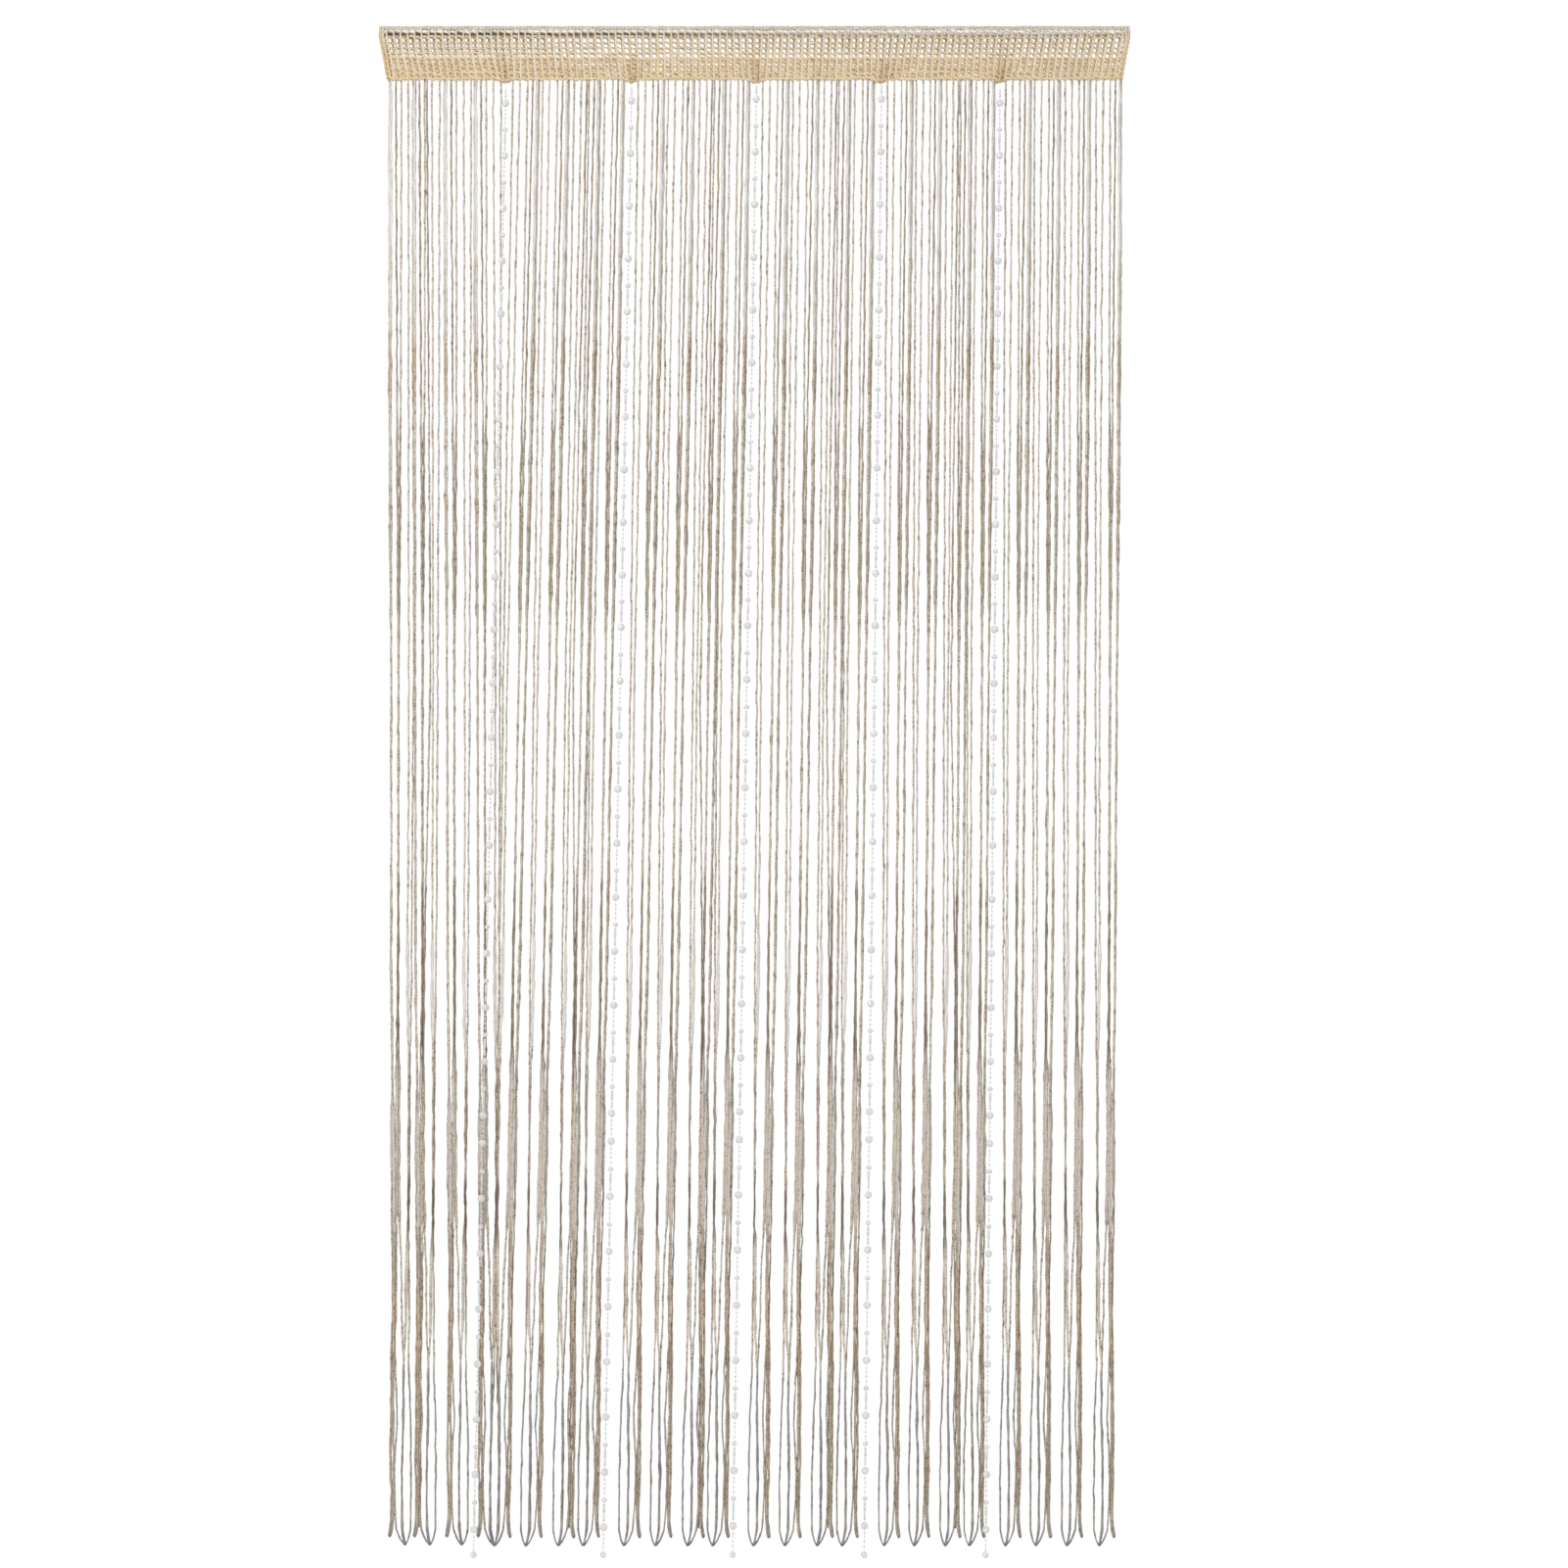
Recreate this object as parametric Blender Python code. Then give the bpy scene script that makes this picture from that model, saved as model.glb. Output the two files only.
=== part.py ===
"""Bead curtain on its rod: a crocheted heading, hairpin loops of yarn and five strands of cut beads.

Metres, +Z up. The origin is the middle of the rod, on its axis. +X runs along the rod to the right of someone
who faces the curtain, and the front of the curtain looks along -Y.
"""

import math
from collections import namedtuple

import bmesh
import bpy
from mathutils import Vector

MM = 0.001
TOUCH_GAP = 0.3 * MM  # between pieces that touch on the real curtain

# The rod
ROD_LENGTH = 980 * MM
ROD_DIAMETER = 13 * MM
ROD_SIDES = 24

# The heading: a soft crocheted band, folded over the rod and closed below it
HEADING_TOP_WIDTH = 978 * MM
HEADING_BOTTOM_WIDTH = 958 * MM
HEADING_WALL = 2.0 * MM
HEADING_TAIL_THICKNESS = 4.4 * MM  # front and back layer together
HEADING_SLACK = 1.0 * MM  # all round the rod, so the band rests on its top
HEADING_BOTTOM_Z = -61 * MM
HEADING_NECK_Z = -27 * MM  # where the two layers meet under the rod
HEADING_COLUMNS = 25
SCALLOP_DEPTH = 4.5 * MM  # the lower edge dips at each bead strand
SCALLOP_REACH = 17 * MM
PINCH_DEPTH = 1.8 * MM  # and is gathered to the front there
PINCH_REACH = 12 * MM

# The yarn
YARN_WIDTH = 2.0 * MM
YARN_SLOT = 2.1 * MM  # from one layer of legs to the one behind it
EDGE_STRIP_HEIGHT = 5 * MM
EDGE_STRIP_THICKNESS = 6.8 * MM
ROOT_Z = -65 * MM
BUNCH_END_Z = -1960 * MM
LOOP_TIP_Z = -1975 * MM
TIP_RISE = 9 * MM  # the legs of a loop come side by side at this height above its tip
TIP_HALF_WIDTH = 2.4 * MM

# The bead strands
THREAD_RADIUS = 0.9 * MM
STITCH_RADIUS = 1.2 * MM
BEAD_RADIUS = 4.5 * MM
BEAD_HALF_HEIGHT = 4.0 * MM
END_BEAD_RADIUS = 3.8 * MM
END_BEAD_Z = -1983 * MM
STRAND_Y = -9 * MM  # hangs just in front of the yarn
STITCH_TOP_Z = -55 * MM

# Six panels of four groups. A panel starts at a bead strand and runs to one side of it; the first runs to the left.
# bead_drop is how much lower the beads of a panel's strand hang.
Panel = namedtuple("Panel", "side top_x bottom_x stretch back_lean lone_leg bead_drop")
PANELS = (
    Panel(-1, -323.1 * MM, -314.2 * MM, stretch=1.000, back_lean=7 * MM, lone_leg=True, bead_drop=0),
    Panel(+1, -323.9 * MM, -366.5 * MM, stretch=1.000, back_lean=0, lone_leg=True, bead_drop=5 * MM),
    Panel(+1, -160.1 * MM, -197.4 * MM, stretch=1.000, back_lean=0, lone_leg=True, bead_drop=2 * MM),
    Panel(+1, +2.5 * MM, -28.6 * MM, stretch=1.000, back_lean=0, lone_leg=True, bead_drop=0),
    Panel(+1, +165.6 * MM, +142.9 * MM, stretch=0.961, back_lean=0, lone_leg=True, bead_drop=0),
    Panel(+1, +320.0 * MM, +301.2 * MM, stretch=0.966, back_lean=0, lone_leg=False, bead_drop=5 * MM),
)
LONE_LEG_STEP = 2  # in five panels the third group has one more leg, g, cut off at its lower end
LONE_LEG_END_Z = -1952 * MM
LAST_GROUP_OUTSET = 10.6 * MM  # the group at the right edge hangs this much further out

# The groups of a panel: the distance of a group's tan leg from the bead strand, at its root and at its lower end
GroupStep = namedtuple("GroupStep", "root end")
GROUP_STEPS = (
    GroupStep(root=34.3 * MM, end=46.7 * MM),
    GroupStep(root=73.4 * MM, end=87.6 * MM),
    GroupStep(root=114.5 * MM, end=129.8 * MM),
    GroupStep(root=145.5 * MM, end=162.4 * MM),
)

# The six legs of a group, and leg g: their distance in mm from the straight line between the group's root and lower end
LegRow = namedtuple("LegRow", "z a b c d e f g")
LEG_ROWS = (
    LegRow(-65, -26.1, -16.5, -6.8, 0.0, +5.8, +8.3, -9.7),
    LegRow(-404, -26.5, -18.5, -7.8, -2.7, +4.7, +7.3, -12.8),
    LegRow(-852, -26.2, -20.5, -6.4, -5.9, +2.7, +3.1, -16.4),
    LegRow(-1235, -25.1, -20.2, -7.8, -7.0, +0.4, +1.9, -9.6),
    LegRow(-1491, -22.9, -22.0, -9.0, -6.6, -3.8, -0.4, -9.0),
    LegRow(-1619, -23.1, -20.2, -13.4, -5.9, -4.6, -1.7, -8.3),
    LegRow(-1747, -23.5, -16.4, -17.1, -3.4, -6.5, -0.9, -6.1),
    LegRow(-1843, -26.6, -16.1, -15.3, -3.6, -6.8, -0.6, -6.4),
    LegRow(-1939, -26.7, -15.5, -15.0, -3.4, -6.3, -1.4, -5.8),
)
LEG_SLOTS = {"a": 0, "b": -1, "c": +1, "d": 0, "e": -1, "f": +1, "g": 0}  # front to back, so that no two legs cut

# Each loop is two of these legs and the tip that joins them
Loop = namedtuple("Loop", "legs tip_x tip_y tip_z")
LOOPS = (
    Loop(legs="ab", tip_x=-19.9 * MM, tip_y=-1.4 * MM, tip_z=LOOP_TIP_Z),
    Loop(legs="ce", tip_x=-18.2 * MM, tip_y=+1.4 * MM, tip_z=LOOP_TIP_Z),
    Loop(legs="df", tip_x=+0.5 * MM, tip_y=+1.0 * MM, tip_z=-1964.5 * MM),
)

# The large beads of a strand, in three even runs
BeadRun = namedtuple("BeadRun", "first_z pitch count")
BEAD_RUNS = (
    BeadRun(first_z=-87.3 * MM, pitch=68.7 * MM, count=10),
    BeadRun(first_z=-773.7 * MM, pitch=70.4 * MM, count=10),
    BeadRun(first_z=-1443.7 * MM, pitch=71.9 * MM, count=8),
)


def finish_material(name, colour, roughness, metallic=0.0):
    """A plain Principled material."""
    material = bpy.data.materials.new(name)
    material.use_nodes = True
    shader = material.node_tree.nodes["Principled BSDF"]
    shader.inputs["Base Color"].default_value = (*colour, 1)
    shader.inputs["Roughness"].default_value = roughness
    shader.inputs["Metallic"].default_value = metallic
    return material


def make_object(name, bm, material, smooth=False):
    """Turns a bmesh into a named object with its faces pointing out."""
    bmesh.ops.recalc_face_normals(bm, faces=bm.faces)
    mesh = bpy.data.meshes.new(name)
    bm.to_mesh(mesh)
    bm.free()
    mesh.materials.append(material)
    if smooth:
        mesh.shade_smooth()
        mesh.set_sharp_from_angle(angle=math.radians(40))
    piece = bpy.data.objects.new(name, mesh)
    bpy.context.scene.collection.objects.link(piece)
    return piece


def bridge(bm, rings):
    """Joins each ring of vertices to the next one."""
    for near, far in zip(rings, rings[1:]):
        for i in range(len(near)):
            j = (i + 1) % len(near)
            bm.faces.new((near[i], near[j], far[j], far[i]))


def loft(bm, sections):
    """A solid through a row of sections, closed at both ends."""
    rings = [[bm.verts.new(point) for point in section] for section in sections]
    bridge(bm, rings)
    bm.faces.new(reversed(rings[0]))
    bm.faces.new(rings[-1])


def bump(distance, reach):
    """A soft hump: 1 where distance is 0, and 0 from reach on."""
    if abs(distance) >= reach:
        return 0.0
    return math.cos(0.5 * math.pi * distance / reach) ** 2


def strand_bumps(x, reach):
    """The soft humps of all bead strands together, at x on the lower edge of the heading."""
    return sum(bump(x - panel.top_x, reach) for panel in PANELS if panel.side > 0)


def edge_fold(x):
    """How far the lower edge of the heading swings to the back, in soft uneven folds."""
    long_wave = 1.1 * MM * math.sin(x / (13 * MM))
    short_wave = 0.6 * MM * math.sin(x / (7.5 * MM) + 1)
    return long_wave + short_wave - PINCH_DEPTH * strand_bumps(x, PINCH_REACH)


def edge_z(x):
    """The height of the heading's lower edge."""
    return HEADING_BOTTOM_Z - SCALLOP_DEPTH * strand_bumps(x, SCALLOP_REACH)


def edge_columns():
    """Places along the lower edge: even steps, with close ones at the bead strands."""
    half = HEADING_BOTTOM_WIDTH / 2
    even = [half * (2 * i / (HEADING_COLUMNS - 1) - 1) for i in range(HEADING_COLUMNS)]
    strands = [panel.top_x for panel in PANELS if panel.side > 0]
    free = [x for x in even if min(abs(x - strand) for strand in strands) > 1.3 * SCALLOP_REACH]
    close = [strand + share * SCALLOP_REACH for strand in strands for share in (-1, -0.5, 0, 0.5, 1)]
    return sorted(free + close)


def ring_profile(radius, centre_z, tail_half, neck_z, arc_points):
    """A drop shape round the rod as (y, z) points: an arc over the top, drawn in to a tail at neck_z."""
    start, end = math.radians(-25), math.radians(205)
    points = []
    for i in range(arc_points):
        angle = start + (end - start) * i / (arc_points - 1)
        points.append((radius * math.cos(angle), centre_z + radius * math.sin(angle)))
    return [(tail_half, neck_z)] + points + [(-tail_half, neck_z)]


def build_heading(material):
    """The band: an outer drop with a tail, and the pocket that the rod runs through."""
    pocket_radius = ROD_DIAMETER / 2 + HEADING_SLACK
    centre_z = ROD_DIAMETER / 2 + TOUCH_GAP - pocket_radius  # hangs on the top of the rod
    tail_half = HEADING_TAIL_THICKNESS / 2
    outer = ring_profile(pocket_radius + HEADING_WALL, centre_z, tail_half, HEADING_NECK_Z, 11)
    pocket = ring_profile(pocket_radius, centre_z, 0.2 * MM, 0.6 * HEADING_NECK_Z, 9)
    top_z = centre_z + pocket_radius + HEADING_WALL

    def place(column_x, y, z):
        """Puts a point of the profile in the column that meets the lower edge at column_x."""
        depth = (top_z - z) / (top_z - HEADING_BOTTOM_Z)
        widening = 1 + (HEADING_TOP_WIDTH / HEADING_BOTTOM_WIDTH - 1) * (1 - depth)
        hang = max(0.0, z / HEADING_BOTTOM_Z)
        return Vector((column_x * widening, y + edge_fold(column_x) * hang, z))

    bm = bmesh.new()
    outer_rings, pocket_rings = [], []
    for x in edge_columns():
        tail = [(-tail_half, edge_z(x)), (tail_half, edge_z(x))]
        outer_rings.append([bm.verts.new(place(x, y, z)) for y, z in outer + tail])
        pocket_rings.append([bm.verts.new(place(x, y, z)) for y, z in pocket])
    bridge(bm, outer_rings)
    bridge(bm, pocket_rings)
    for side in (0, -1):
        rims = outer_rings[side] + pocket_rings[side]
        edges = [edge for vert in rims for edge in vert.link_edges if edge.other_vert(vert) in rims]
        bmesh.ops.triangle_fill(bm, edges=list(set(edges)), use_beauty=True)
    return make_object("heading", bm, material, smooth=True)


def build_rod(material):
    """A plain round rod along X."""
    bm = bmesh.new()
    sections = []
    for x in (-ROD_LENGTH / 2, ROD_LENGTH / 2):
        turns = [2 * math.pi * i / ROD_SIDES for i in range(ROD_SIDES)]
        radius = ROD_DIAMETER / 2
        sections.append([Vector((x, radius * math.cos(turn), radius * math.sin(turn))) for turn in turns])
    loft(bm, sections)
    return make_object("rod", bm, material, smooth=True)


def group_lines():
    """The root and the lower end of every group, with its panel and whether it has a lone leg."""
    lines = []
    for panel in PANELS:
        for number, step in enumerate(GROUP_STEPS):
            root_x = panel.top_x + panel.side * panel.stretch * step.root
            end_x = panel.bottom_x + panel.side * panel.stretch * step.end
            lines.append([panel, root_x, end_x, panel.lone_leg and number == LONE_LEG_STEP])
    lines[-1][1] += LAST_GROUP_OUTSET
    lines[-1][2] += LAST_GROUP_OUTSET
    return lines


def group_point(panel, root_x, end_x, offset, y, z):
    """A point of a group at height z: offset from the group's straight line, and y from its middle layer."""
    drop = (ROOT_Z - z) / (ROOT_Z - BUNCH_END_Z)
    x = root_x + (end_x - root_x) * drop + panel.side * panel.stretch * offset
    fold = edge_fold(x) * max(0.0, 1 - drop)
    return Vector((x, y + fold + panel.back_lean * drop, z))


def leg_points(panel, root_x, end_x, name):
    """The centre line of one leg, from its root down."""
    y = LEG_SLOTS[name] * YARN_SLOT
    points = [group_point(panel, root_x, end_x, getattr(row, name) * MM, y, row.z * MM) for row in LEG_ROWS]
    points[0].z = edge_z(points[0].x) - TOUCH_GAP - EDGE_STRIP_HEIGHT / 2
    return points


def loop_path(panel, root_x, end_x, loop):
    """The centre line of one hairpin loop: down its first leg, round the tip and up its second leg."""
    first, second = (leg_points(panel, root_x, end_x, name) for name in loop.legs)
    tip = []
    for turn in (-1.5, -0.5, 0.5, 1.5):  # four points of a narrow half ellipse, as shares of a third of its turn
        angle = math.radians(60 * turn)
        x = loop.tip_x + TIP_HALF_WIDTH * math.sin(angle)
        z = loop.tip_z + TIP_RISE * (math.cos(math.radians(30)) - math.cos(angle))
        tip.append(group_point(panel, root_x, end_x, x, loop.tip_y, z))
    return first + tip + second[::-1]


def lone_leg_path(panel, root_x, end_x):
    """The centre line of leg g, down to its cut end."""
    last = LEG_ROWS[-1].g * MM
    return leg_points(panel, root_x, end_x, "g") + [group_point(panel, root_x, end_x, last, 0, LONE_LEG_END_Z)]


def yarn_section(path, i):
    """A three-sided section of the yarn, square to its path, with one edge to the front."""
    along = (path[min(i + 1, len(path) - 1)] - path[max(i - 1, 0)]).normalized()
    back = Vector((0, 1, 0))
    across = along.cross(back).normalized()
    half_width = YARN_WIDTH / 2
    front_reach = half_width / math.cos(math.radians(30))
    centre = path[i]
    return [
        centre - back * front_reach,
        centre + back * front_reach / 2 + across * half_width,
        centre + back * front_reach / 2 - across * half_width,
    ]


def build_yarn_fringe(material):
    """The narrow strip under the heading, with every loop of yarn fused into it."""
    half = HEADING_BOTTOM_WIDTH / 2 + MM
    columns = edge_columns()
    columns[0], columns[-1] = -half, half
    bm = bmesh.new()
    sections = []
    for x in columns:
        top = edge_z(x) - TOUCH_GAP
        bottom = top - EDGE_STRIP_HEIGHT
        front = edge_fold(x) - EDGE_STRIP_THICKNESS / 2
        back = edge_fold(x) + EDGE_STRIP_THICKNESS / 2
        sections.append([Vector((x, y, z)) for y, z in ((front, bottom), (back, bottom), (back, top), (front, top))])
    loft(bm, sections)
    fringe = make_object("yarn_fringe", bm, material)

    bm = bmesh.new()
    for panel, root_x, end_x, has_lone_leg in group_lines():
        paths = [loop_path(panel, root_x, end_x, loop) for loop in LOOPS]
        if has_lone_leg:
            paths.append(lone_leg_path(panel, root_x, end_x))
        for path in paths:
            loft(bm, [yarn_section(path, i) for i in range(len(path))])
    loops = make_object("yarn_loops", bm, material)
    loops.hide_render = True
    loops.display_type = "WIRE"
    union = fringe.modifiers.new("loops", "BOOLEAN")
    union.operation = "UNION"
    union.solver = "EXACT"
    union.object = loops
    return fringe


def bead_sections(bead_drop):
    """The radius of a strand by height, from its stitch to its end bead."""
    stitch_bottom = HEADING_BOTTOM_Z - SCALLOP_DEPTH + 2 * MM
    sections = [(STITCH_TOP_Z, STITCH_RADIUS), (stitch_bottom, STITCH_RADIUS), (stitch_bottom - 3 * MM, THREAD_RADIUS)]
    for run in BEAD_RUNS:
        for i in range(run.count):
            z = run.first_z - i * run.pitch - bead_drop
            sections.append((z + BEAD_HALF_HEIGHT, THREAD_RADIUS))
            sections.append((z, BEAD_RADIUS))
            sections.append((z - BEAD_HALF_HEIGHT, THREAD_RADIUS))
    sections.append((END_BEAD_Z + BEAD_HALF_HEIGHT, THREAD_RADIUS))
    sections.append((END_BEAD_Z, END_BEAD_RADIUS))
    sections.append((END_BEAD_Z - BEAD_HALF_HEIGHT, THREAD_RADIUS / 2))
    return sections


def build_bead_strand(name, panel, material):
    """One four-sided strand, stitched to the front of the heading's lower edge."""
    top_z = edge_z(panel.top_x)
    stitch_y = -HEADING_TAIL_THICKNESS / 2 - TOUCH_GAP - STITCH_RADIUS
    free_z = BEAD_RUNS[0].first_z - panel.bead_drop + BEAD_HALF_HEIGHT  # hangs straight down from here on
    bm = bmesh.new()
    rings = []
    for z, radius in bead_sections(panel.bead_drop):
        x = panel.top_x + (panel.bottom_x - panel.top_x) * max(0.0, (top_z - z) / (top_z - END_BEAD_Z))
        ease = min(1.0, max(0.0, (top_z + 2 * MM - z) / (top_z + 2 * MM - free_z)))
        y = stitch_y + edge_fold(panel.top_x) * (1 - ease) + (STRAND_Y - stitch_y) * ease ** 0.5
        corners = ((radius, 0), (0, radius), (-radius, 0), (0, -radius))
        rings.append([Vector((x + dx, y + dy, z)) for dx, dy in corners])
    loft(bm, rings)
    return make_object(name, bm, material)


def main():
    for piece in list(bpy.data.objects):
        bpy.data.objects.remove(piece, do_unlink=True)

    crochet = finish_material("golden_crochet", (0.62, 0.51, 0.34), 0.85)
    steel = finish_material("silver_rod", (0.78, 0.78, 0.79), 0.25, metallic=1.0)
    yarn = finish_material("taupe_yarn", (0.36, 0.29, 0.23), 0.8)
    beads = finish_material("clear_beads", (0.86, 0.88, 0.89), 0.08)

    build_rod(steel)
    build_heading(crochet)
    build_yarn_fringe(yarn)
    strand_panels = [panel for panel in PANELS if panel.side > 0]
    for number, panel in enumerate(strand_panels, start=1):
        build_bead_strand(f"bead_strand_{number}", panel, beads)


main()
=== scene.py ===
# %% [markdown]
# # A bead curtain on its rod
#
# The curtain has four kinds of piece: a silver rod, a crocheted heading that is folded over it, hairpin loops of
# slubby yarn, and five strands of clear beads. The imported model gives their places, as plain solids in metres, with
# the middle of the rod at the origin and the front looking along -Y. Here the plain solids of yarn, crochet and beads
# are replaced by pieces made of real strands. They follow the same paths, so nothing has to be fitted afterwards.
# All sizes are in metres, and are written as millimetres times MM.

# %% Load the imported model
import math
from collections import defaultdict, namedtuple
from functools import lru_cache

import bmesh
import bpy
import numpy as np
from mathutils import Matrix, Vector


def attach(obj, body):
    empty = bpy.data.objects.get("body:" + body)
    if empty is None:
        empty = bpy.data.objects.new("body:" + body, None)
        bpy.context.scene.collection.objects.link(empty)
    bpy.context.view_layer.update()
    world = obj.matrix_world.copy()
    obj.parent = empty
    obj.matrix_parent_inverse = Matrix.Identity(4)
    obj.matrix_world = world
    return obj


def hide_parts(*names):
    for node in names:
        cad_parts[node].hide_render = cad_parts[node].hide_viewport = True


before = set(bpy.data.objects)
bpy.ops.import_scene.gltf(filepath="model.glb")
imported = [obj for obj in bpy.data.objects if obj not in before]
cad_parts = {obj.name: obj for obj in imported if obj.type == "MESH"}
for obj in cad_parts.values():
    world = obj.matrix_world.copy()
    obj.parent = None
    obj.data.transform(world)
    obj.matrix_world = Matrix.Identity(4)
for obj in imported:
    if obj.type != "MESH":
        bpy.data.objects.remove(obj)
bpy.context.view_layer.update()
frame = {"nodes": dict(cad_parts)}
MM = 0.001
print("nodes:", ", ".join(frame["nodes"]))

# %% [markdown]
# ## Camera
#
# The photograph looks straight at the curtain and takes in a square of 2.05 m. A long lens from far away keeps the
# strands parallel, as they are in the picture. A closer, wider lens would spread them, and an orthographic camera
# would show nothing of the depth of the heading. The curtain hangs a little left of the middle of the frame.

# %% Set up the camera
PHOTO_PIXELS, PIXEL_SIZE = 1601, 1.2788 * MM  # the photograph's width, and what one of its pixels shows
FRAME_WIDTH = PHOTO_PIXELS * PIXEL_SIZE
FRAME_CENTRE = (38.4 * MM, -980.2 * MM)
LENS, SENSOR = 100, 36
FARTHEST_VIEW = 50
camera_data = bpy.data.cameras.new("camera")
camera_data.lens = LENS
camera_data.sensor_width = SENSOR
camera_data.clip_end = FARTHEST_VIEW
camera = bpy.data.objects.new("camera", camera_data)
camera.location = (FRAME_CENTRE[0], -FRAME_WIDTH * LENS / SENSOR, FRAME_CENTRE[1])
camera.rotation_euler = (math.radians(90), 0, 0)
bpy.context.scene.collection.objects.link(camera)
bpy.context.scene.camera = camera
print("camera stands", round(-camera.location.y, 2), "m in front of the curtain")

# %% [markdown]
# ## Sums on sockets
#
# Every finish below is a small network of nodes. Written node by node it would hide the idea, so a `Value` wraps a
# socket and takes part in plain sums, and a `Bench` makes all other nodes with one method: its kind, its settings,
# then what goes into its sockets. The alternative, an image texture, would blur at this scale and has to be painted.

# %% Wrap a socket for sums
class Value:
    """What a socket gives out, for use in sums."""

    def __init__(self, bench, socket):
        self.bench = bench
        self.socket = socket

    def math(self, operation, *terms):
        """What a Math node makes of its terms, each a Value or a number."""
        return self.bench.add("ShaderNodeMath", {"operation": operation}, dict(enumerate(terms)))

    def __add__(self, other):
        return self.math("ADD", self, other)

    def __sub__(self, other):
        return self.math("SUBTRACT", self, other)

    def __rsub__(self, other):
        return self.math("SUBTRACT", other, self)

    def __mul__(self, other):
        return self.math("MULTIPLY", self, other)

    def __pow__(self, power):
        return self.math("POWER", self, power)

    __radd__ = __add__
    __rmul__ = __mul__

    def sine(self):
        return self.math("SINE", self)

    def cosine(self):
        return self.math("COSINE", self)

    def step(self, low, high):
        """0 below low, 1 above high, and soft in between."""
        settings = {"interpolation_type": "SMOOTHSTEP"}
        return self.bench.add("ShaderNodeMapRange", settings, {"Value": self, "From Min": low, "From Max": high})


print("sums work on sockets")


# %% Make nodes on a bench
class Bench:
    """The nodes of one material or of the world."""

    def __init__(self, owner):
        owner.use_nodes = True
        self.tree = owner.node_tree

    def add(self, kind, settings=None, inputs=None, out=0):
        """Makes a node: its settings first, then the values or links of its sockets."""
        node = self.tree.nodes.new(kind)
        for name, setting in (settings or {}).items():
            if name == "stops":
                while len(node.color_ramp.elements) < len(setting):
                    node.color_ramp.elements.new(0.5)
                for element, (position, tone) in zip(node.color_ramp.elements, setting):
                    element.position = position
                    element.color = tone
            else:
                setattr(node, name, setting)
        self.plug(node, inputs or {})
        return Value(self, node.outputs[out])

    def plug(self, node, inputs):
        """Links or sets the named sockets of a node."""
        for name, value in inputs.items():
            if isinstance(value, Value):
                self.tree.links.new(value.socket, node.inputs[name])
            else:
                node.inputs[name].default_value = value

    def mix(self, share, first, second):
        """From the first colour to the second as share goes from 0 to 1."""
        return self.add("ShaderNodeMix", {"data_type": "RGBA"}, {0: share, 6: first, 7: second}, out=2)

    def mark(self, name):
        """A number that the piece's mesh carries at each of its points."""
        return self.add("ShaderNodeAttribute", {"attribute_name": name}, out=2)

    def noise(self, size, detail=2.0, stretch=(1, 1, 1)):
        """Cloudy noise from 0 to 1 in object space. size is how wide its clouds are, in metres."""
        where = self.add("ShaderNodeTexCoord", out=3)
        where = self.add("ShaderNodeMapping", None, {"Vector": where, "Scale": stretch})
        return self.add("ShaderNodeTexNoise", None, {"Vector": where, "Scale": 1 / size, "Detail": detail})

    def bump(self, height, depth, strength=1.0):
        """A normal for a surface that stands up by depth, in metres, where height is 1."""
        return self.add("ShaderNodeBump", None, {"Height": height, "Distance": depth, "Strength": strength})


print("a bench makes nodes")


# %% Finish a material
def rgb(red, green, blue):
    """A colour as a screen shows it, from 0 to 255, as the linear colour that a shader takes."""
    return tuple(((part / 255 + 0.055) / 1.055) ** 2.4 for part in (red, green, blue)) + (1,)


def finish(name, constants, make_surface):
    """A material: the constant values of its Principled shader, and a function that returns what varies."""
    material = bpy.data.materials.new(name)
    bench = Bench(material)
    shader = bench.tree.nodes["Principled BSDF"]
    bench.plug(shader, constants)
    bench.plug(shader, make_surface(bench))
    return material


print("the grey 128 of a screen is", round(rgb(128, 128, 128)[0], 3), "in linear light")

# %% [markdown]
# ## Light and floor
#
# The photograph is a studio picture on pure white: soft light from everywhere, a little more from the upper left, and
# something dark below the camera that only shows as the dark line along the rod. One world can't be all of that, so
# this one asks what kind of ray meets it. The camera, and rays through the glass beads, see plain white. Cloth gets a
# soft glow that is brighter from above. The rod's mirror sees white with a dark board, which is taller to the left.

# %% Make the world
RAYS = ("Is Camera Ray", "Is Glossy Ray", "Is Transmission Ray")
GLOW = ((0.0, 0.74), (0.5, 0.82), (1.0, 1.02))  # direction, from 0 straight down to 1 straight up, and brightness
BOARD_RISE = -0.52  # how far down the middle of the dark board is seen, as a direction's rise from -1 to 1
BOARD_ZOOM = 5  # its edges are given for directions from -0.1 on the left to 0.1 on the right
BOARD_EDGES = (  # where, from 0 on the left to 1 on the right, and half the board's height there
    (0.46, 0.48), (0.52, 0.04), (0.60, 0.01), (0.63, 0.22), (0.66, 0.01), (0.735, 0.01), (0.765, 0.28), (0.81, 0.04),
    (0.86, 0.01), (0.88, 0.24),
)
BOARD_SOFTNESS = 0.05
BOARD_TONE, WHITE = (0.03, 0.03, 0.03, 1), (1, 1, 1, 1)


def greys(stops):
    """The stops of a ramp from plain brightnesses."""
    return [(position, (tone, tone, tone, 1)) for position, tone in stops]


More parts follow.
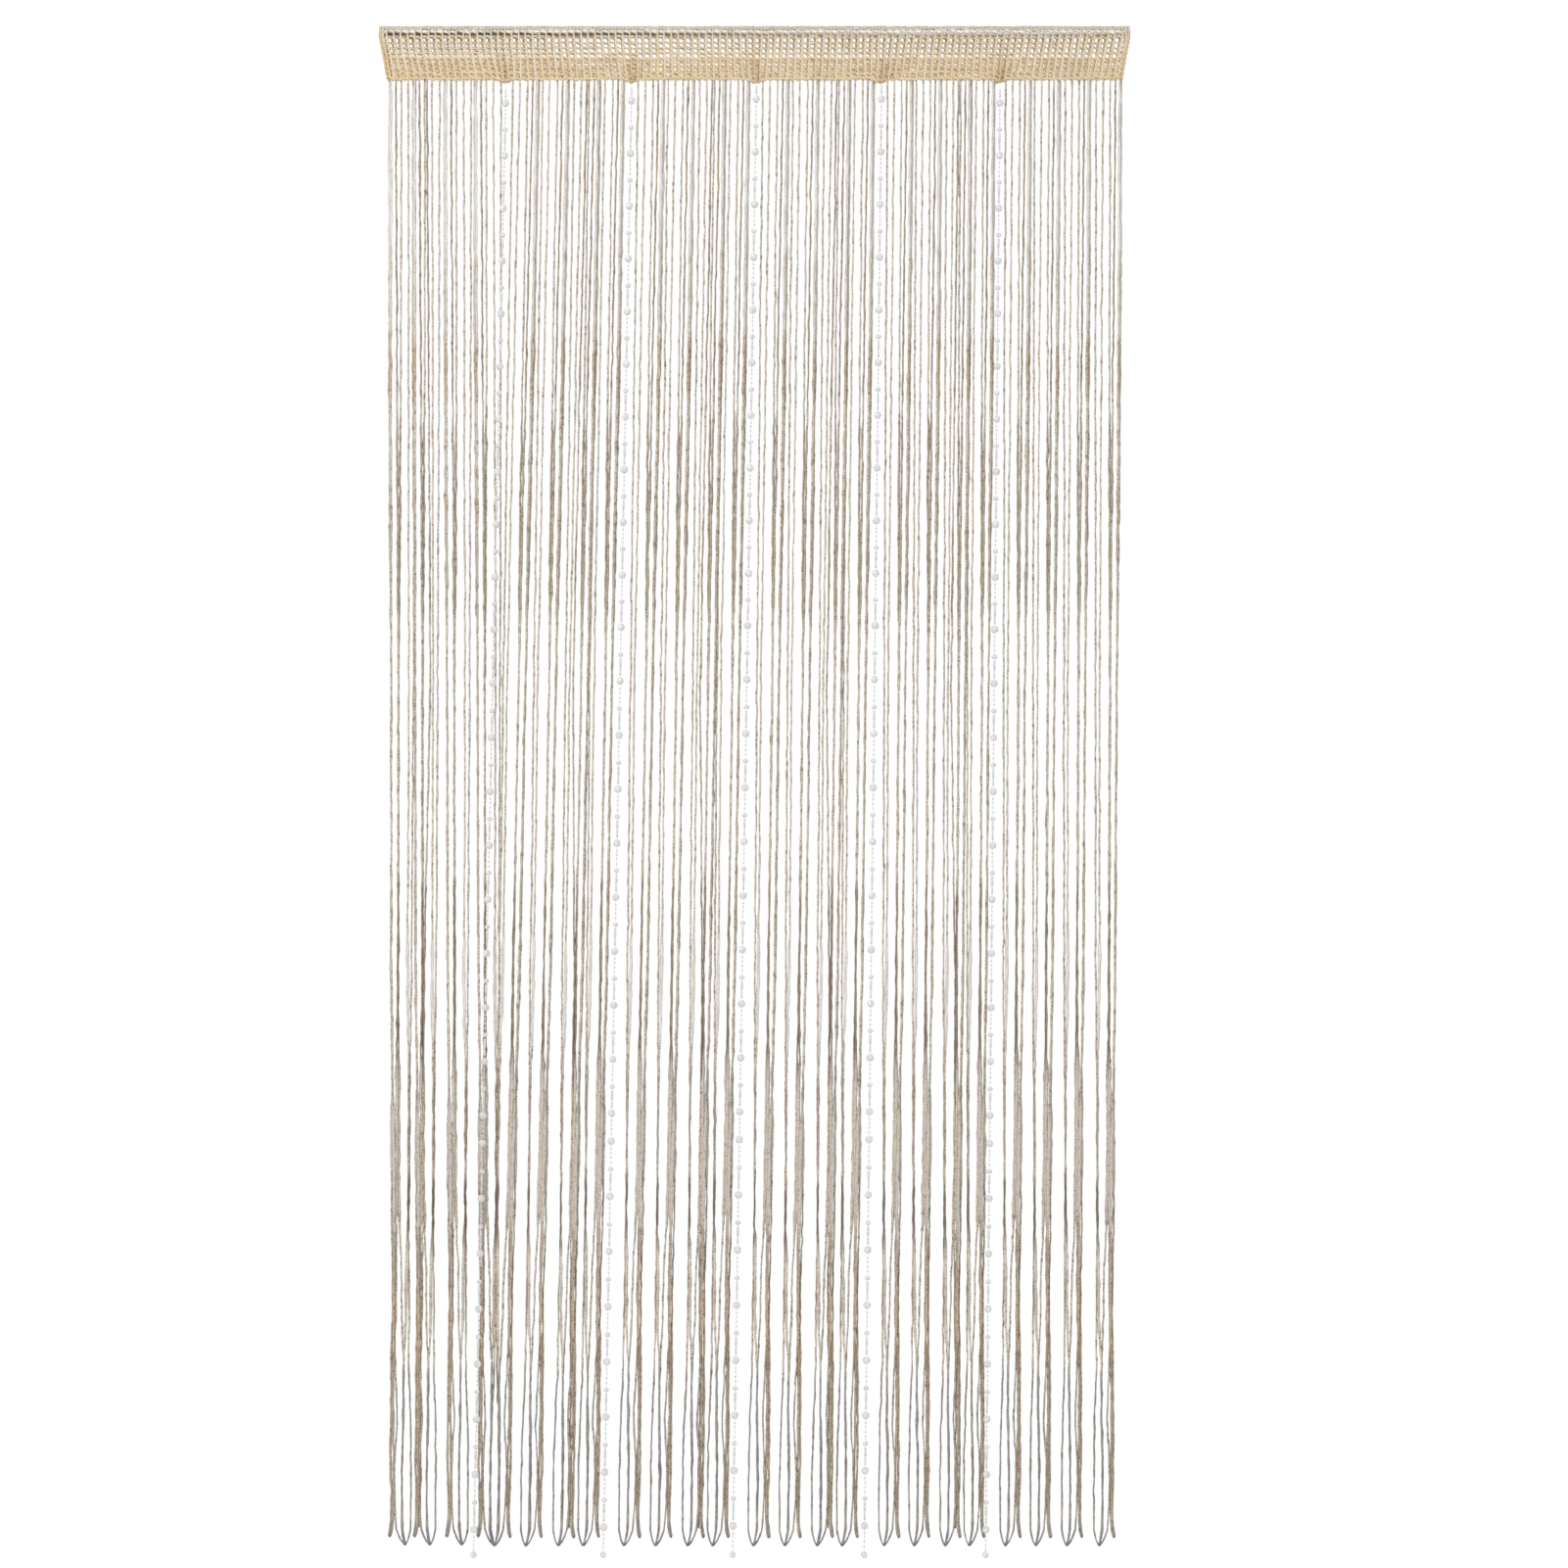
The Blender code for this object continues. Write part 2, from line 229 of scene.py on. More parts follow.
world = bpy.data.worlds.new("studio")
bpy.context.scene.world = world
sky = Bench(world)
direction = sky.add("ShaderNodeTexCoord")
rightward = sky.add("ShaderNodeSeparateXYZ", None, {0: direction}, out=0)
upward = sky.add("ShaderNodeSeparateXYZ", None, {0: direction}, out=2)
glow = sky.add("ShaderNodeValToRGB", {"stops": greys(GLOW)}, {0: upward * 0.5 + 0.5})
board_half = sky.add("ShaderNodeValToRGB", {"stops": greys(BOARD_EDGES)}, {0: rightward * BOARD_ZOOM + 0.5})
from_board = (upward - BOARD_RISE).math("ABSOLUTE", upward - BOARD_RISE)
off_board = from_board.step(board_half - BOARD_SOFTNESS, board_half + BOARD_SOFTNESS)
mirrored = sky.mix(off_board, BOARD_TONE, WHITE)
by_camera, by_gloss, by_glass = (sky.add("ShaderNodeLightPath", out=name) for name in RAYS)
tone = sky.mix(by_gloss, glow, mirrored)
tone = sky.mix(by_camera.math("MAXIMUM", by_camera, by_glass), tone, WHITE)
sky.plug(sky.tree.nodes["Background"], {"Color": tone, "Strength": 1.0})
bpy.context.scene.view_settings.view_transform = "Standard"
print("the world has", len(sky.tree.nodes), "nodes")

# %% [markdown]
# One large round lamp, high on the left and in front, gives the strands a lighter side. A small one would throw hard
# shadows, and a ring of lamps many of them.

# %% Hang the lamp
LAMP_WIDTH, LAMP_POWER = 2.2, 85
LAMP_PLACE, LAMP_AIM = (-2.2, -3.4, 1.6), (0, 0, -0.9)

lamp_data = bpy.data.lights.new("lamp", "AREA")
lamp_data.shape = "DISK"
lamp_data.size = LAMP_WIDTH
lamp_data.energy = LAMP_POWER
lamp = bpy.data.objects.new("lamp", lamp_data)
lamp.location = LAMP_PLACE
lamp.rotation_euler = (Vector(LAMP_AIM) - lamp.location).to_track_quat("-Z", "Y").to_euler()
bpy.context.scene.collection.objects.link(lamp)
print("the lamp hangs", round((Vector(LAMP_AIM) - lamp.location).length, 1), "m from the curtain's middle")

# %% [markdown]
# The floor is a thick painted disc with a softened rim, clear below the curtain. A bare plane would show its sharp end
# from the sides. It is only there for the picture.

# %% Lay the floor
FLOOR_RADIUS, FLOOR_TOP, FLOOR_THICKNESS, FLOOR_ROUNDING = 1.6, -2.3, 0.03, 0.008


def place(name, mesh, materials):
    """Puts a mesh in the scene as a piece, at the origin."""
    for material in materials:
        mesh.materials.append(material)
    piece = bpy.data.objects.new(name, mesh)
    bpy.context.scene.collection.objects.link(piece)
    return piece


def floor_surface(bench):
    """Pale matt paint, a little uneven."""
    cloud = bench.noise(0.25, 4)
    return {
        "Base Color": bench.mix(cloud, rgb(236, 236, 234), rgb(244, 244, 243)),
        "Roughness": cloud * 0.15 + 0.6,
    }


bm = bmesh.new()
bmesh.ops.create_cone(
    bm, cap_ends=True, segments=160, radius1=FLOOR_RADIUS, radius2=FLOOR_RADIUS, depth=FLOOR_THICKNESS
)
rims = [edge for edge in bm.edges if len(edge.link_faces) == 2 and edge.calc_face_angle() > 1]
bmesh.ops.bevel(
    bm, geom=rims, offset=FLOOR_ROUNDING, offset_type="OFFSET", affect="EDGES", segments=3, profile=0.5, material=-1
)
bmesh.ops.translate(bm, verts=bm.verts, vec=(0, 0, FLOOR_TOP - FLOOR_THICKNESS / 2))
floor_mesh = bpy.data.meshes.new("floor")
bm.to_mesh(floor_mesh)
bm.free()
floor = place("floor", floor_mesh, [finish("pale_floor", {}, floor_surface)])
print("floor at", FLOOR_TOP, "m")

# %% [markdown]
# ## Strands from a straight blank
#
# Almost all of the curtain is strand: yarn, crochet thread and bead thread. A curve with a round bevel would give a
# tube too, but it can't swell at a slub or carry marks for the dye. So one straight tube is made with operators, a
# capped cylinder whose long edges are subdivided, and copies of it are bent along their paths. A `Bundle` collects
# many tubes and beads into one mesh, with marks at each point that the finishes read: how far along the strand a
# point is, and where it is round it.

# %% Make a straight blank
@lru_cache(maxsize=None)
def straight_tube(sides, sections):
    """A capped tube of radius 1 and length 1 along Z: its mesh, the places of its points, and its sections."""
    bm = bmesh.new()
    bmesh.ops.create_cone(bm, cap_ends=True, segments=sides, radius1=1, radius2=1, depth=1)
    long_edges = [edge for edge in bm.edges if abs(edge.verts[0].co.z - edge.verts[1].co.z) > 0.5]
    bmesh.ops.subdivide_edges(bm, edges=long_edges, cuts=sections - 1)
    return blank_mesh(bm, smooth=True) + (sections,)


def blank_mesh(bm, smooth):
    """Turns a bmesh into a mesh to copy from, with the places of its points."""
    for face in bm.faces:
        face.smooth = smooth
    mesh = bpy.data.meshes.new("blank")
    bm.to_mesh(mesh)
    bm.free()
    points = np.empty(len(mesh.vertices) * 3)
    mesh.vertices.foreach_get("co", points)
    return mesh, points.reshape(-1, 3)


print("straight blanks can be made")


# %% Bundle tubes and beads
def lengths_along(path):
    """How far along its path each point is."""
    steps = np.linalg.norm(np.diff(path, axis=0), axis=1)
    return np.concatenate([[0], np.cumsum(steps)])


class Bundle:
    """Tubes and beads that become one mesh."""

    def __init__(self):
        self.bm = bmesh.new()
        self.points = []
        self.marks = defaultdict(list)

    def add(self, mesh, points, marks):
        """Adds a copy of mesh with its points moved to new places, and its marks."""
        self.bm.from_mesh(mesh)
        self.points.append(points)
        for name, values in marks.items():
            self.marks[name].append(np.broadcast_to(values, len(points)))

    def lay(self, path, wide, deep, across, sides=5, **marks):
        """Bends a tube along a path. wide is its half width along across, and deep its half width square to it."""
        mesh, blank, sections = straight_tube(sides, len(path) - 1)
        ring = np.rint((blank[:, 2] + 0.5) * sections).astype(int)
        across = np.asarray(across, float)
        along = np.gradient(path, axis=0)
        third = np.cross(along, across)
        third /= np.linalg.norm(third, axis=1, keepdims=True)
        wide, deep = (np.broadcast_to(size, len(path))[ring, None] for size in (wide, deep))
        points = path[ring] + across * blank[:, :1] * wide + third[ring] * blank[:, 1:2] * deep
        marks = {name: np.broadcast_to(values, len(path))[ring] for name, values in marks.items()}
        marks.update(along=lengths_along(path)[ring], round_x=blank[:, 0], round_y=blank[:, 1])
        self.add(mesh, points, marks)

    def piece(self, name, materials):
        """The bundle as a piece of the scene."""
        mesh = bpy.data.meshes.new(name)
        self.bm.to_mesh(mesh)
        self.bm.free()
        mesh.vertices.foreach_set("co", np.concatenate(self.points).ravel())
        for mark, values in self.marks.items():
            mesh.attributes.new(mark, "FLOAT", "POINT").data.foreach_set("value", np.concatenate(values))
        mesh.update()
        triangles = sum(len(polygon.vertices) - 2 for polygon in mesh.polygons)
        print(f"{name}: {len(self.points)} parts, {triangles} triangles")
        return place(name, mesh, materials)


print("a bundle collects tubes and beads")


# %% Let a strand wander
def wander(places, every, size, rng):
    """A smooth random swing of about size, with a new value at each step of every."""
    knots = np.arange(places.min() - 2 * every, places.max() + 3 * every, every)
    swing = np.interp(places, knots, rng.normal(size=len(knots)))
    reach = max(1, int(every / max(1e-9, np.abs(np.diff(places)).mean())))
    padded = np.pad(swing, reach, mode="edge")
    return size * np.convolve(padded, np.ones(2 * reach + 1) / (2 * reach + 1), mode="valid")


swing = wander(np.linspace(0, 1, 1000), 45 * MM, 0.2 * MM, np.random.default_rng(1))
print("a strand may wander by", round(float(np.abs(swing).max()) / MM, 2), "mm in a metre")

# %% [markdown]
# ## Where things hang
#
# These are the maker's sizes of the solids: six panels of four groups, each group with three loops of yarn, and a
# bead strand between panels. The lower edge of the heading dips and comes forward at each bead strand, and sways in
# soft folds elsewhere. Repeating the numbers here, with the same names, keeps the strands on the solids that they
# replace. Reading points from the solids' meshes would tie the looks to one tessellation.
#
# A panel lies to one side of a bead strand, whose x is given at its top and at its end. Its groups are stretched
# sideways a little, or lean to the back as they go down, and its strand's beads hang lower by bead_drop.

# %% Repeat the curtain's sizes
ROD_RADIUS = 6.5 * MM
HEADING_TOP_WIDTH = 978 * MM
HEADING_BOTTOM_WIDTH = 958 * MM
HEADING_TOP_Z = 8.8 * MM
HEADING_BOTTOM_Z = -61 * MM
HEADING_NECK_Z = -27 * MM
SCALLOP_DEPTH, SCALLOP_REACH = 4.5 * MM, 17 * MM
PINCH_DEPTH, PINCH_REACH = 1.8 * MM, 12 * MM
FOLD_WAVES = ((1.1 * MM, 13 * MM, 0), (0.6 * MM, 7.5 * MM, 1))  # how deep, the length of a radian, and the first angle
ROOT_Z, BUNCH_END_Z, LOOP_TIP_Z = -65 * MM, -1960 * MM, -1975 * MM
YARN_SLOT = 2.1 * MM

Panel = namedtuple("Panel", "side top_x bottom_x stretch back_lean lone_leg bead_drop")
PANELS = (
    Panel(-1, -323.1 * MM, -314.2 * MM, stretch=1.000, back_lean=7 * MM, lone_leg=True, bead_drop=0),
    Panel(+1, -323.9 * MM, -366.5 * MM, stretch=1.000, back_lean=0, lone_leg=True, bead_drop=5 * MM),
    Panel(+1, -160.1 * MM, -197.4 * MM, stretch=1.000, back_lean=0, lone_leg=True, bead_drop=2 * MM),
    Panel(+1, +2.5 * MM, -28.6 * MM, stretch=1.000, back_lean=0, lone_leg=True, bead_drop=0),
    Panel(+1, +165.6 * MM, +142.9 * MM, stretch=0.961, back_lean=0, lone_leg=True, bead_drop=0),
    Panel(+1, +320.0 * MM, +301.2 * MM, stretch=0.966, back_lean=0, lone_leg=False, bead_drop=5 * MM),
)
STRAND_PANELS = [panel for panel in PANELS if panel.side > 0]
LAST_GROUP_OUTSET = 10.6 * MM
LONE_LEG_STEP, LONE_LEG_END_Z = 2, -1952 * MM  # the group that has one more leg, g, and its cut end
GROUP_STEPS = ((34.3, 46.7), (73.4, 87.6), (114.5, 129.8), (145.5, 162.4))  # mm from the bead strand: root, end


def strand_bumps(x, reach):
    """1 at each bead strand, falling softly to 0 at reach from it."""
    total = 0
    for panel in STRAND_PANELS:
        nearness = np.clip(1 - np.abs(x - panel.top_x) / reach, 0, 1)
        total = total + np.sin(0.5 * np.pi * nearness) ** 2
    return total


def edge_fold(x):
    """How far the lower edge of the heading swings to the back."""
    waves = sum(depth * np.sin(x / length + start) for depth, length, start in FOLD_WAVES)
    return waves - PINCH_DEPTH * strand_bumps(x, PINCH_REACH)


def edge_z(x):
    """The height of the heading's lower edge."""
    return HEADING_BOTTOM_Z - SCALLOP_DEPTH * strand_bumps(x, SCALLOP_REACH)


print("lower edge dips to", round(float(edge_z(STRAND_PANELS[2].top_x)) / MM, 1), "mm at a bead strand")

# %% [markdown]
# ## Yarn loops
#
# Each group is three hairpins of yarn, six legs in all, which start apart under the heading and drift into a bunch
# near the floor. Five of the panels have one more leg, g, with a cut end. A hair system could draw the strands, but it
# would not give solid meshes. So each hairpin is one tube along a smoothed path. Its legs run through the places that
# a row of the list gives for each height, and wander a little on the way, as soft yarn does.

# %% List the legs and the loops
LegRow = namedtuple("LegRow", "z a b c d e f g")  # mm: height, and each leg's distance from its group's straight line
LEG_ROWS = (
    LegRow(-65, -26.1, -16.5, -6.8, 0.0, +5.8, +8.3, -9.7),
    LegRow(-404, -26.5, -18.5, -7.8, -2.7, +4.7, +7.3, -12.8),
    LegRow(-640, -26.3, -19.5, -7.4, -4.7, +3.6, +5.3, -14.7),
    LegRow(-852, -26.2, -20.5, -6.4, -5.9, +2.7, +3.1, -16.4),
    LegRow(-1235, -25.1, -20.2, -7.8, -7.0, +0.4, +1.9, -9.6),
    LegRow(-1363, -23.9, -22.4, -8.6, -6.1, -1.4, -0.3, -9.2),
    LegRow(-1491, -22.9, -22.0, -9.0, -6.6, -3.8, -0.4, -9.0),
    LegRow(-1555, -22.9, -22.0, -10.2, -5.8, -3.7, 0.0, -8.6),
    LegRow(-1619, -23.1, -20.2, -13.4, -5.9, -4.6, -1.7, -8.3),
    LegRow(-1683, -23.7, -20.2, -13.7, -5.8, -4.1, -1.8, -8.2),
    LegRow(-1747, -23.5, -16.4, -17.1, -3.4, -6.5, -0.9, -6.1),
    LegRow(-1817, -26.3, -16.5, -16.5, -3.2, -9.6, -0.5, -6.0),
    LegRow(-1843, -26.6, -16.1, -15.3, -3.6, -6.8, -0.6, -6.4),
    LegRow(-1875, -27.0, -15.3, -14.6, -4.2, -5.2, +0.2, -7.0),
    LegRow(-1913, -26.9, -15.6, -15.1, -3.8, -6.0, -1.6, -6.6),
    LegRow(-1939, -26.7, -15.5, -15.0, -3.4, -6.3, -1.4, -5.8),
    LegRow(-1952, -26.6, -15.9, -15.6, -3.0, -9.4, -1.2, -5.8),
)
LEG_SLOTS = {"a": 0, "b": -1, "c": +1, "d": 0, "e": -1, "f": +1, "g": 0}  # which layer each hangs in, -1 in front
Loop = namedtuple("Loop", "legs tip_x tip_y tip_z")
LOOPS = (
    Loop(legs="ab", tip_x=-19.9 * MM, tip_y=-1.4 * MM, tip_z=LOOP_TIP_Z),
    Loop(legs="ce", tip_x=-18.2 * MM, tip_y=+1.4 * MM, tip_z=LOOP_TIP_Z),
    Loop(legs="df", tip_x=+0.5 * MM, tip_y=+1.0 * MM, tip_z=-1964.5 * MM),
)
print("a group has", len(LEG_SLOTS) - 1, "legs in", len(LOOPS), "loops, placed at", len(LEG_ROWS), "heights")

# %% Draw the paths of the loops
TIP_RISE, TIP_HALF_WIDTH, TIP_GAP = 6 * MM, 1.5 * MM, 2 * MM  # a leg ends at this gap above the round of its tip
LEG_SECTIONS, TIP_SECTIONS = 430, 14
LEG_EVENING, TIP_EVENING, TIP_BLEND = 5, 3, 12  # in points: how widely paths are evened out, and how far up from a tip
ROOT_TUCK = 1.5 * MM  # how far a leg runs up into the heading
TUCK_LENGTH, TUCK_SHARE = 8 * MM, 0.6  # the layers of legs draw together by this share at the heading
SWAY, WAVER, DEPTH_SWAY = (45 * MM, 0.2 * MM), (5 * MM, 0.5 * MM), (40 * MM, 0.25 * MM)  # every, and how far
CALM_ABOVE_TIP, CALM_BELOW_ROOT = 60 * MM, 30 * MM  # the swaying grows over these lengths


def smooth(path, reach):
    """Evens out a path by averaging each point with its neighbours. Its ends stay."""
    size = 2 * reach + 1
    padded = np.concatenate([2 * path[0] - path[reach:0:-1], path, 2 * path[-1] - path[-2:-reach - 2:-1]])
    return np.column_stack([np.convolve(column, np.ones(size) / size, mode="valid") for column in padded.T])


def group_point(panel, root_x, end_x, offset, y, z):
    """Points of a group at heights z: offset from the group's straight line, and y from its middle layer."""
    drop = np.clip((ROOT_Z - z) / (ROOT_Z - BUNCH_END_Z), 0, None)
    x = root_x + (end_x - root_x) * drop + panel.side * panel.stretch * offset
    fold = edge_fold(x) * np.clip(1 - drop, 0, None)
    return np.column_stack([x, y + fold + panel.back_lean * drop, z])


def leg_path(panel, root_x, end_x, name, bottom, rng):
    """The centre line of one leg, from the heading down to bottom."""
    root_offset = getattr(LEG_ROWS[0], name) * MM
    top = edge_z(root_x + panel.side * panel.stretch * root_offset) + ROOT_TUCK
    z = np.linspace(top, bottom, LEG_SECTIONS)
    offset = np.interp(-z, [-row.z * MM for row in LEG_ROWS], [getattr(row, name) * MM for row in LEG_ROWS])
    offset = smooth(offset[:, None], LEG_EVENING)[:, 0]
    calm = np.clip((z - z[-1]) / CALM_ABOVE_TIP, 0, 1) * np.clip((z[0] - z) / CALM_BELOW_ROOT, 0, 1)
    offset = offset + calm * (wander(z, *SWAY, rng) + wander(z, *WAVER, rng))
    tuck = np.clip((z - top + TUCK_LENGTH) / TUCK_LENGTH, 0, 1)
    y = LEG_SLOTS[name] * YARN_SLOT * (1 - TUCK_SHARE * tuck) + calm * wander(z, *DEPTH_SWAY, rng)
    return group_point(panel, root_x, end_x, offset, y, z)


def loop_path(panel, root_x, end_x, loop, rng):
    """The centre line of one hairpin, evened out round its tip, and the leg that each of its points is on."""
    angle = np.radians(np.linspace(-90, 90, TIP_SECTIONS))
    tip_x = loop.tip_x + TIP_HALF_WIDTH * np.sin(angle)
    tip = group_point(panel, root_x, end_x, tip_x, loop.tip_y, loop.tip_z + TIP_RISE * (1 - np.cos(angle)))
    bottom = loop.tip_z + TIP_RISE + TIP_GAP
    first, second = (leg_path(panel, root_x, end_x, name, bottom, rng) for name in loop.legs)
    path = np.concatenate([first, tip, second[::-1]])
    low = slice(LEG_SECTIONS - TIP_BLEND, LEG_SECTIONS + TIP_SECTIONS + TIP_BLEND)
    path[low] = smooth(path[low], TIP_EVENING)
    names = np.where(np.arange(len(path)) > LEG_SECTIONS + TIP_SECTIONS / 2, loop.legs[1], loop.legs[0])
    return path, names


sample, _ = loop_path(PANELS[1], 0.0, 0.0, LOOPS[0], np.random.default_rng(1))
print("a loop takes", round(lengths_along(sample)[-1], 2), "m of yarn")

# %% [markdown]
# The yarn is a soft two-ply with slubs, and it is dyed in patches, so the legs of one group change from warm grey to
# tan, olive and brown at the same heights. In places it hangs slack, and its plies open into a wider, paler ribbon of
# fibres. A noise of its own for each leg would lose the patches that the groups share. So one list names the dye, the
# legs and the heights of each patch, and each point of a leg carries a mark for each dye.

# %% Mark the slubs
FIRST_SLUB, SLUB_GAPS, SLUB_REACHES = (0, 20), (5, 18), (1.8, 3.4)  # mm, each at random between two values
SLUB_HEIGHTS, SLUB_POWER = (0.1, 1.0), 1.5  # the power makes most of them small


def slubs(distance, rng):
    """From 0 to 1: the thick places of the yarn. Few of them are large."""
    lumps = np.zeros(len(distance))
    middle = rng.uniform(*FIRST_SLUB) * MM
    while middle < distance[-1]:
        reach, height = rng.uniform(*SLUB_REACHES) * MM, rng.uniform(*SLUB_HEIGHTS) ** SLUB_POWER
        lumps = np.maximum(lumps, height * np.clip(1 - np.abs(distance - middle) / reach, 0, 1))
        middle += rng.uniform(*SLUB_GAPS) * MM
    return lumps


lumps = slubs(np.linspace(0, 1, 2000), np.random.default_rng(1))
print("a metre of yarn has slubs on", round(100 * float((lumps > 0).mean())), "% of its length")

# %% Mark the dyes
# Heights are in mm. Loose isn't a dye, but a slack stretch.
Patch = namedtuple("Patch", "dye legs top bottom strength")
PATCHES = (
    Patch("pale", "b", -65, -1180, 0.15),
    Patch("pale", "c", -65, -460, 0.15),
    Patch("pale", "ef", -65, -290, 0.8),
    Patch("pale", "ef", -290, -400, 0.4),
    Patch("pale", "b", -1185, -1310, 0.9),
    Patch("pale", "c", -1795, -1840, 0.7),
    Patch("pale", "c", -1935, -1968, 0.6),
    Patch("brown", "dg", -65, -480, 0.6),
    Patch("brown", "cd", -500, -640, 0.6),
    Patch("brown", "efg", -800, -1010, 0.3),
    Patch("brown", "cdg", -1110, -1370, 0.9),
    Patch("brown", "ab", -1360, -1480, 0.5),
    Patch("brown", "d", -1560, -1700, 0.7),
    Patch("brown", "e", -1560, -1750, 0.7),
    Patch("brown", "dfg", -1590, -1940, 0.7),
    Patch("brown", "ab", -1620, -1680, 0.5),
    Patch("brown", "bce", -1850, -1940, 0.6),
    Patch("gold", "dg", -160, -230, 0.7),
    Patch("gold", "ef", -400, -480, 0.6),
    Patch("gold", "ef", -590, -650, 0.5),
    Patch("gold", "ef", -1080, -1190, 0.4),
    Patch("gold", "cdg", -1370, -1560, 0.4),
    Patch("gold", "defg", -1640, -1740, 0.6),
    Patch("gold", "dfg", -1740, -1940, 0.35),
    Patch("olive", "cdg", -640, -760, 0.8),
    Patch("umber", "ef", -640, -760, 0.35),
    Patch("umber", "cdg", -1290, -1340, 0.4),
    Patch("umber", "ab", -1495, -1590, 0.8),
    Patch("umber", "defg", -1705, -1745, 0.5),
    Patch("umber", "dfg", -1945, -1980, 0.9),
    Patch("slate", "ef", -1340, -1560, 0.4),
    Patch("slate", "e", -1760, -1850, 0.5),
    Patch("slate", "abc", -1740, -1945, 0.6),
    Patch("slate", "abce", -1945, -1990, 0.9),
    Patch("slate", "dfg", -1945, -1980, 0.5),
    Patch("loose", "ef", -65, -760, 0.3),
    Patch("loose", "cd", -520, -760, 0.3),
    Patch("loose", "b", -1185, -1310, 0.8),
    Patch("loose", "cd", -1340, -1555, 0.9),
    Patch("loose", "e", -1405, -1555, 0.9),
    Patch("loose", "f", -1405, -1500, 0.9),
    Patch("loose", "de", -1555, -1700, 0.4),
    Patch("loose", "b", -1570, -1700, 0.7),
    Patch("loose", "df", -1700, -1975, 0.35),
    Patch("loose", "c", -1795, -1840, 0.5),
    Patch("loose", "c", -1935, -1968, 0.6),
)
DYE_COLOURS = {
    "pale": rgb(236, 231, 226),
    "brown": rgb(164, 146, 126),
    "umber": rgb(126, 111, 95),
    "gold": rgb(188, 165, 132),
    "olive": rgb(175, 161, 130),
    "slate": rgb(146, 145, 146),
}
DYE_BORDER = 30 * MM  # the length over which a dye fades in


def dye_marks(z, names, shift):
    """How strongly each dye shows at each point: z is its height, and names its leg."""
    marks = {dye: np.zeros(len(z)) for dye in (*DYE_COLOURS, "loose")}
    for patch in PATCHES:
        inside = np.clip((patch.top * MM - z + shift) / DYE_BORDER + 0.5, 0, 1)
        inside *= np.clip((z - patch.bottom * MM - shift) / DYE_BORDER + 0.5, 0, 1)
        on_leg = np.isin(names, list(patch.legs))
        marks[patch.dye] = np.maximum(marks[patch.dye], patch.strength * inside * on_leg)
    return marks


print("dyes:", ", ".join(DYE_COLOURS), "in", len(PATCHES), "patches")

# %% [markdown]
# One length of yarn is one tube. It is thicker at the slubs and swells a little at random, it is flatter in some places
# than in others, and it spreads where it is slack. A tube of one width would look like cord. Where a loop turns, its
# yarn is no thicker, so that its two legs stay apart, but it is darkened as much as a slub, as painted shade in the
# turn.

# %% Lay the yarn along its paths
YARN_HALF_WIDTH, YARN_HALF_DEPTH = 1.35 * MM, 1.05 * MM
YARN_SIZE, SLUB_GROWTH = 0.92, 0.28  # how thick the yarn is between its slubs, and how much thicker a slub is
UNEVENNESS, FLATNESS = (5 * MM, 0.14), (20 * MM, 0.10)  # every, and how much
TIP_SHADE, TIP_SHADE_INSET = 0.8, 3  # how dark a tip is, and how many of its points at each end are not
DYE_SHIFT = 6 * MM  # how much higher or lower the patches lie in a group, at random
PANEL_SEED = 100


def lay_yarn(bundle, path, names, shift, rng):
    """One length of yarn with its slubs and dyes."""
    distance = lengths_along(path)
    lumps = slubs(distance, rng)
    lumps[LEG_SECTIONS:LEG_SECTIONS + TIP_SECTIONS] = 0
    marks = dye_marks(path[:, 2], names, shift)
    size = YARN_SIZE + SLUB_GROWTH * lumps + wander(distance, *UNEVENNESS, rng)
    # The middle of each tip is darkened through the slub mark: painted shade in the turn of the loop, with no
    # thickening.
    lumps[LEG_SECTIONS + TIP_SHADE_INSET:LEG_SECTIONS + TIP_SECTIONS - TIP_SHADE_INSET] = TIP_SHADE
    flat = 1 + wander(distance, *FLATNESS, rng)
    half_depth, half_width = YARN_HALF_DEPTH * size / flat, YARN_HALF_WIDTH * size * flat * (1 + marks["loose"])
    bundle.lay(path, half_depth, half_width, (0, 1, 0), slub=lumps, tint=rng.uniform(), **marks)


def make_panel(number, panel, groups, material):
    """The loops of one panel, and its lone leg, as one piece."""
    rng = np.random.default_rng(PANEL_SEED + number)
    bundle = Bundle()
    for step, (root_x, end_x) in enumerate(groups):
        shift = rng.normal() * DYE_SHIFT
        for loop in LOOPS:
            lay_yarn(bundle, *loop_path(panel, root_x, end_x, loop, rng), shift, rng)
        if panel.lone_leg and step == LONE_LEG_STEP:
            path = leg_path(panel, root_x, end_x, "g", LONE_LEG_END_Z, rng)
            lay_yarn(bundle, path, np.full(len(path), "g"), shift, rng)
    return bundle.piece(f"yarn_panel_{number}", [material])


print("the yarn is", round(2 * YARN_HALF_WIDTH * YARN_SIZE / MM, 1), "mm wide between its slubs")

# %% [markdown]
# The finish of the yarn: warm grey wool, with the dyes laid over it one by one where the marks say so, their borders
# broken up by noise as dye bleeds. Dark nubs of other fibres are spun in, and the slubs are darker too; the same mark
# darkens the tips of the loops, as painted shade. The twist of the two plies is a groove that winds round the strand:
# the sine of the distance along it plus the angle round it, worked out from the marks so that it has no seam. Its
# groove is darkened with painted shade and given a bump. Modelled as shapes, twist and nubs would take millions of
# faces.

# %% Dye and twist the yarn
TWIST_PITCH = 4.2 * MM


def twist(bench, pitch):
    """From -1 to 1: a wave that winds round a strand once in each pitch, as the two plies do."""
    turn = bench.mark("along") * (2 * math.pi / pitch)
    return turn.sine() * bench.mark("round_x") + turn.cosine() * bench.mark("round_y")


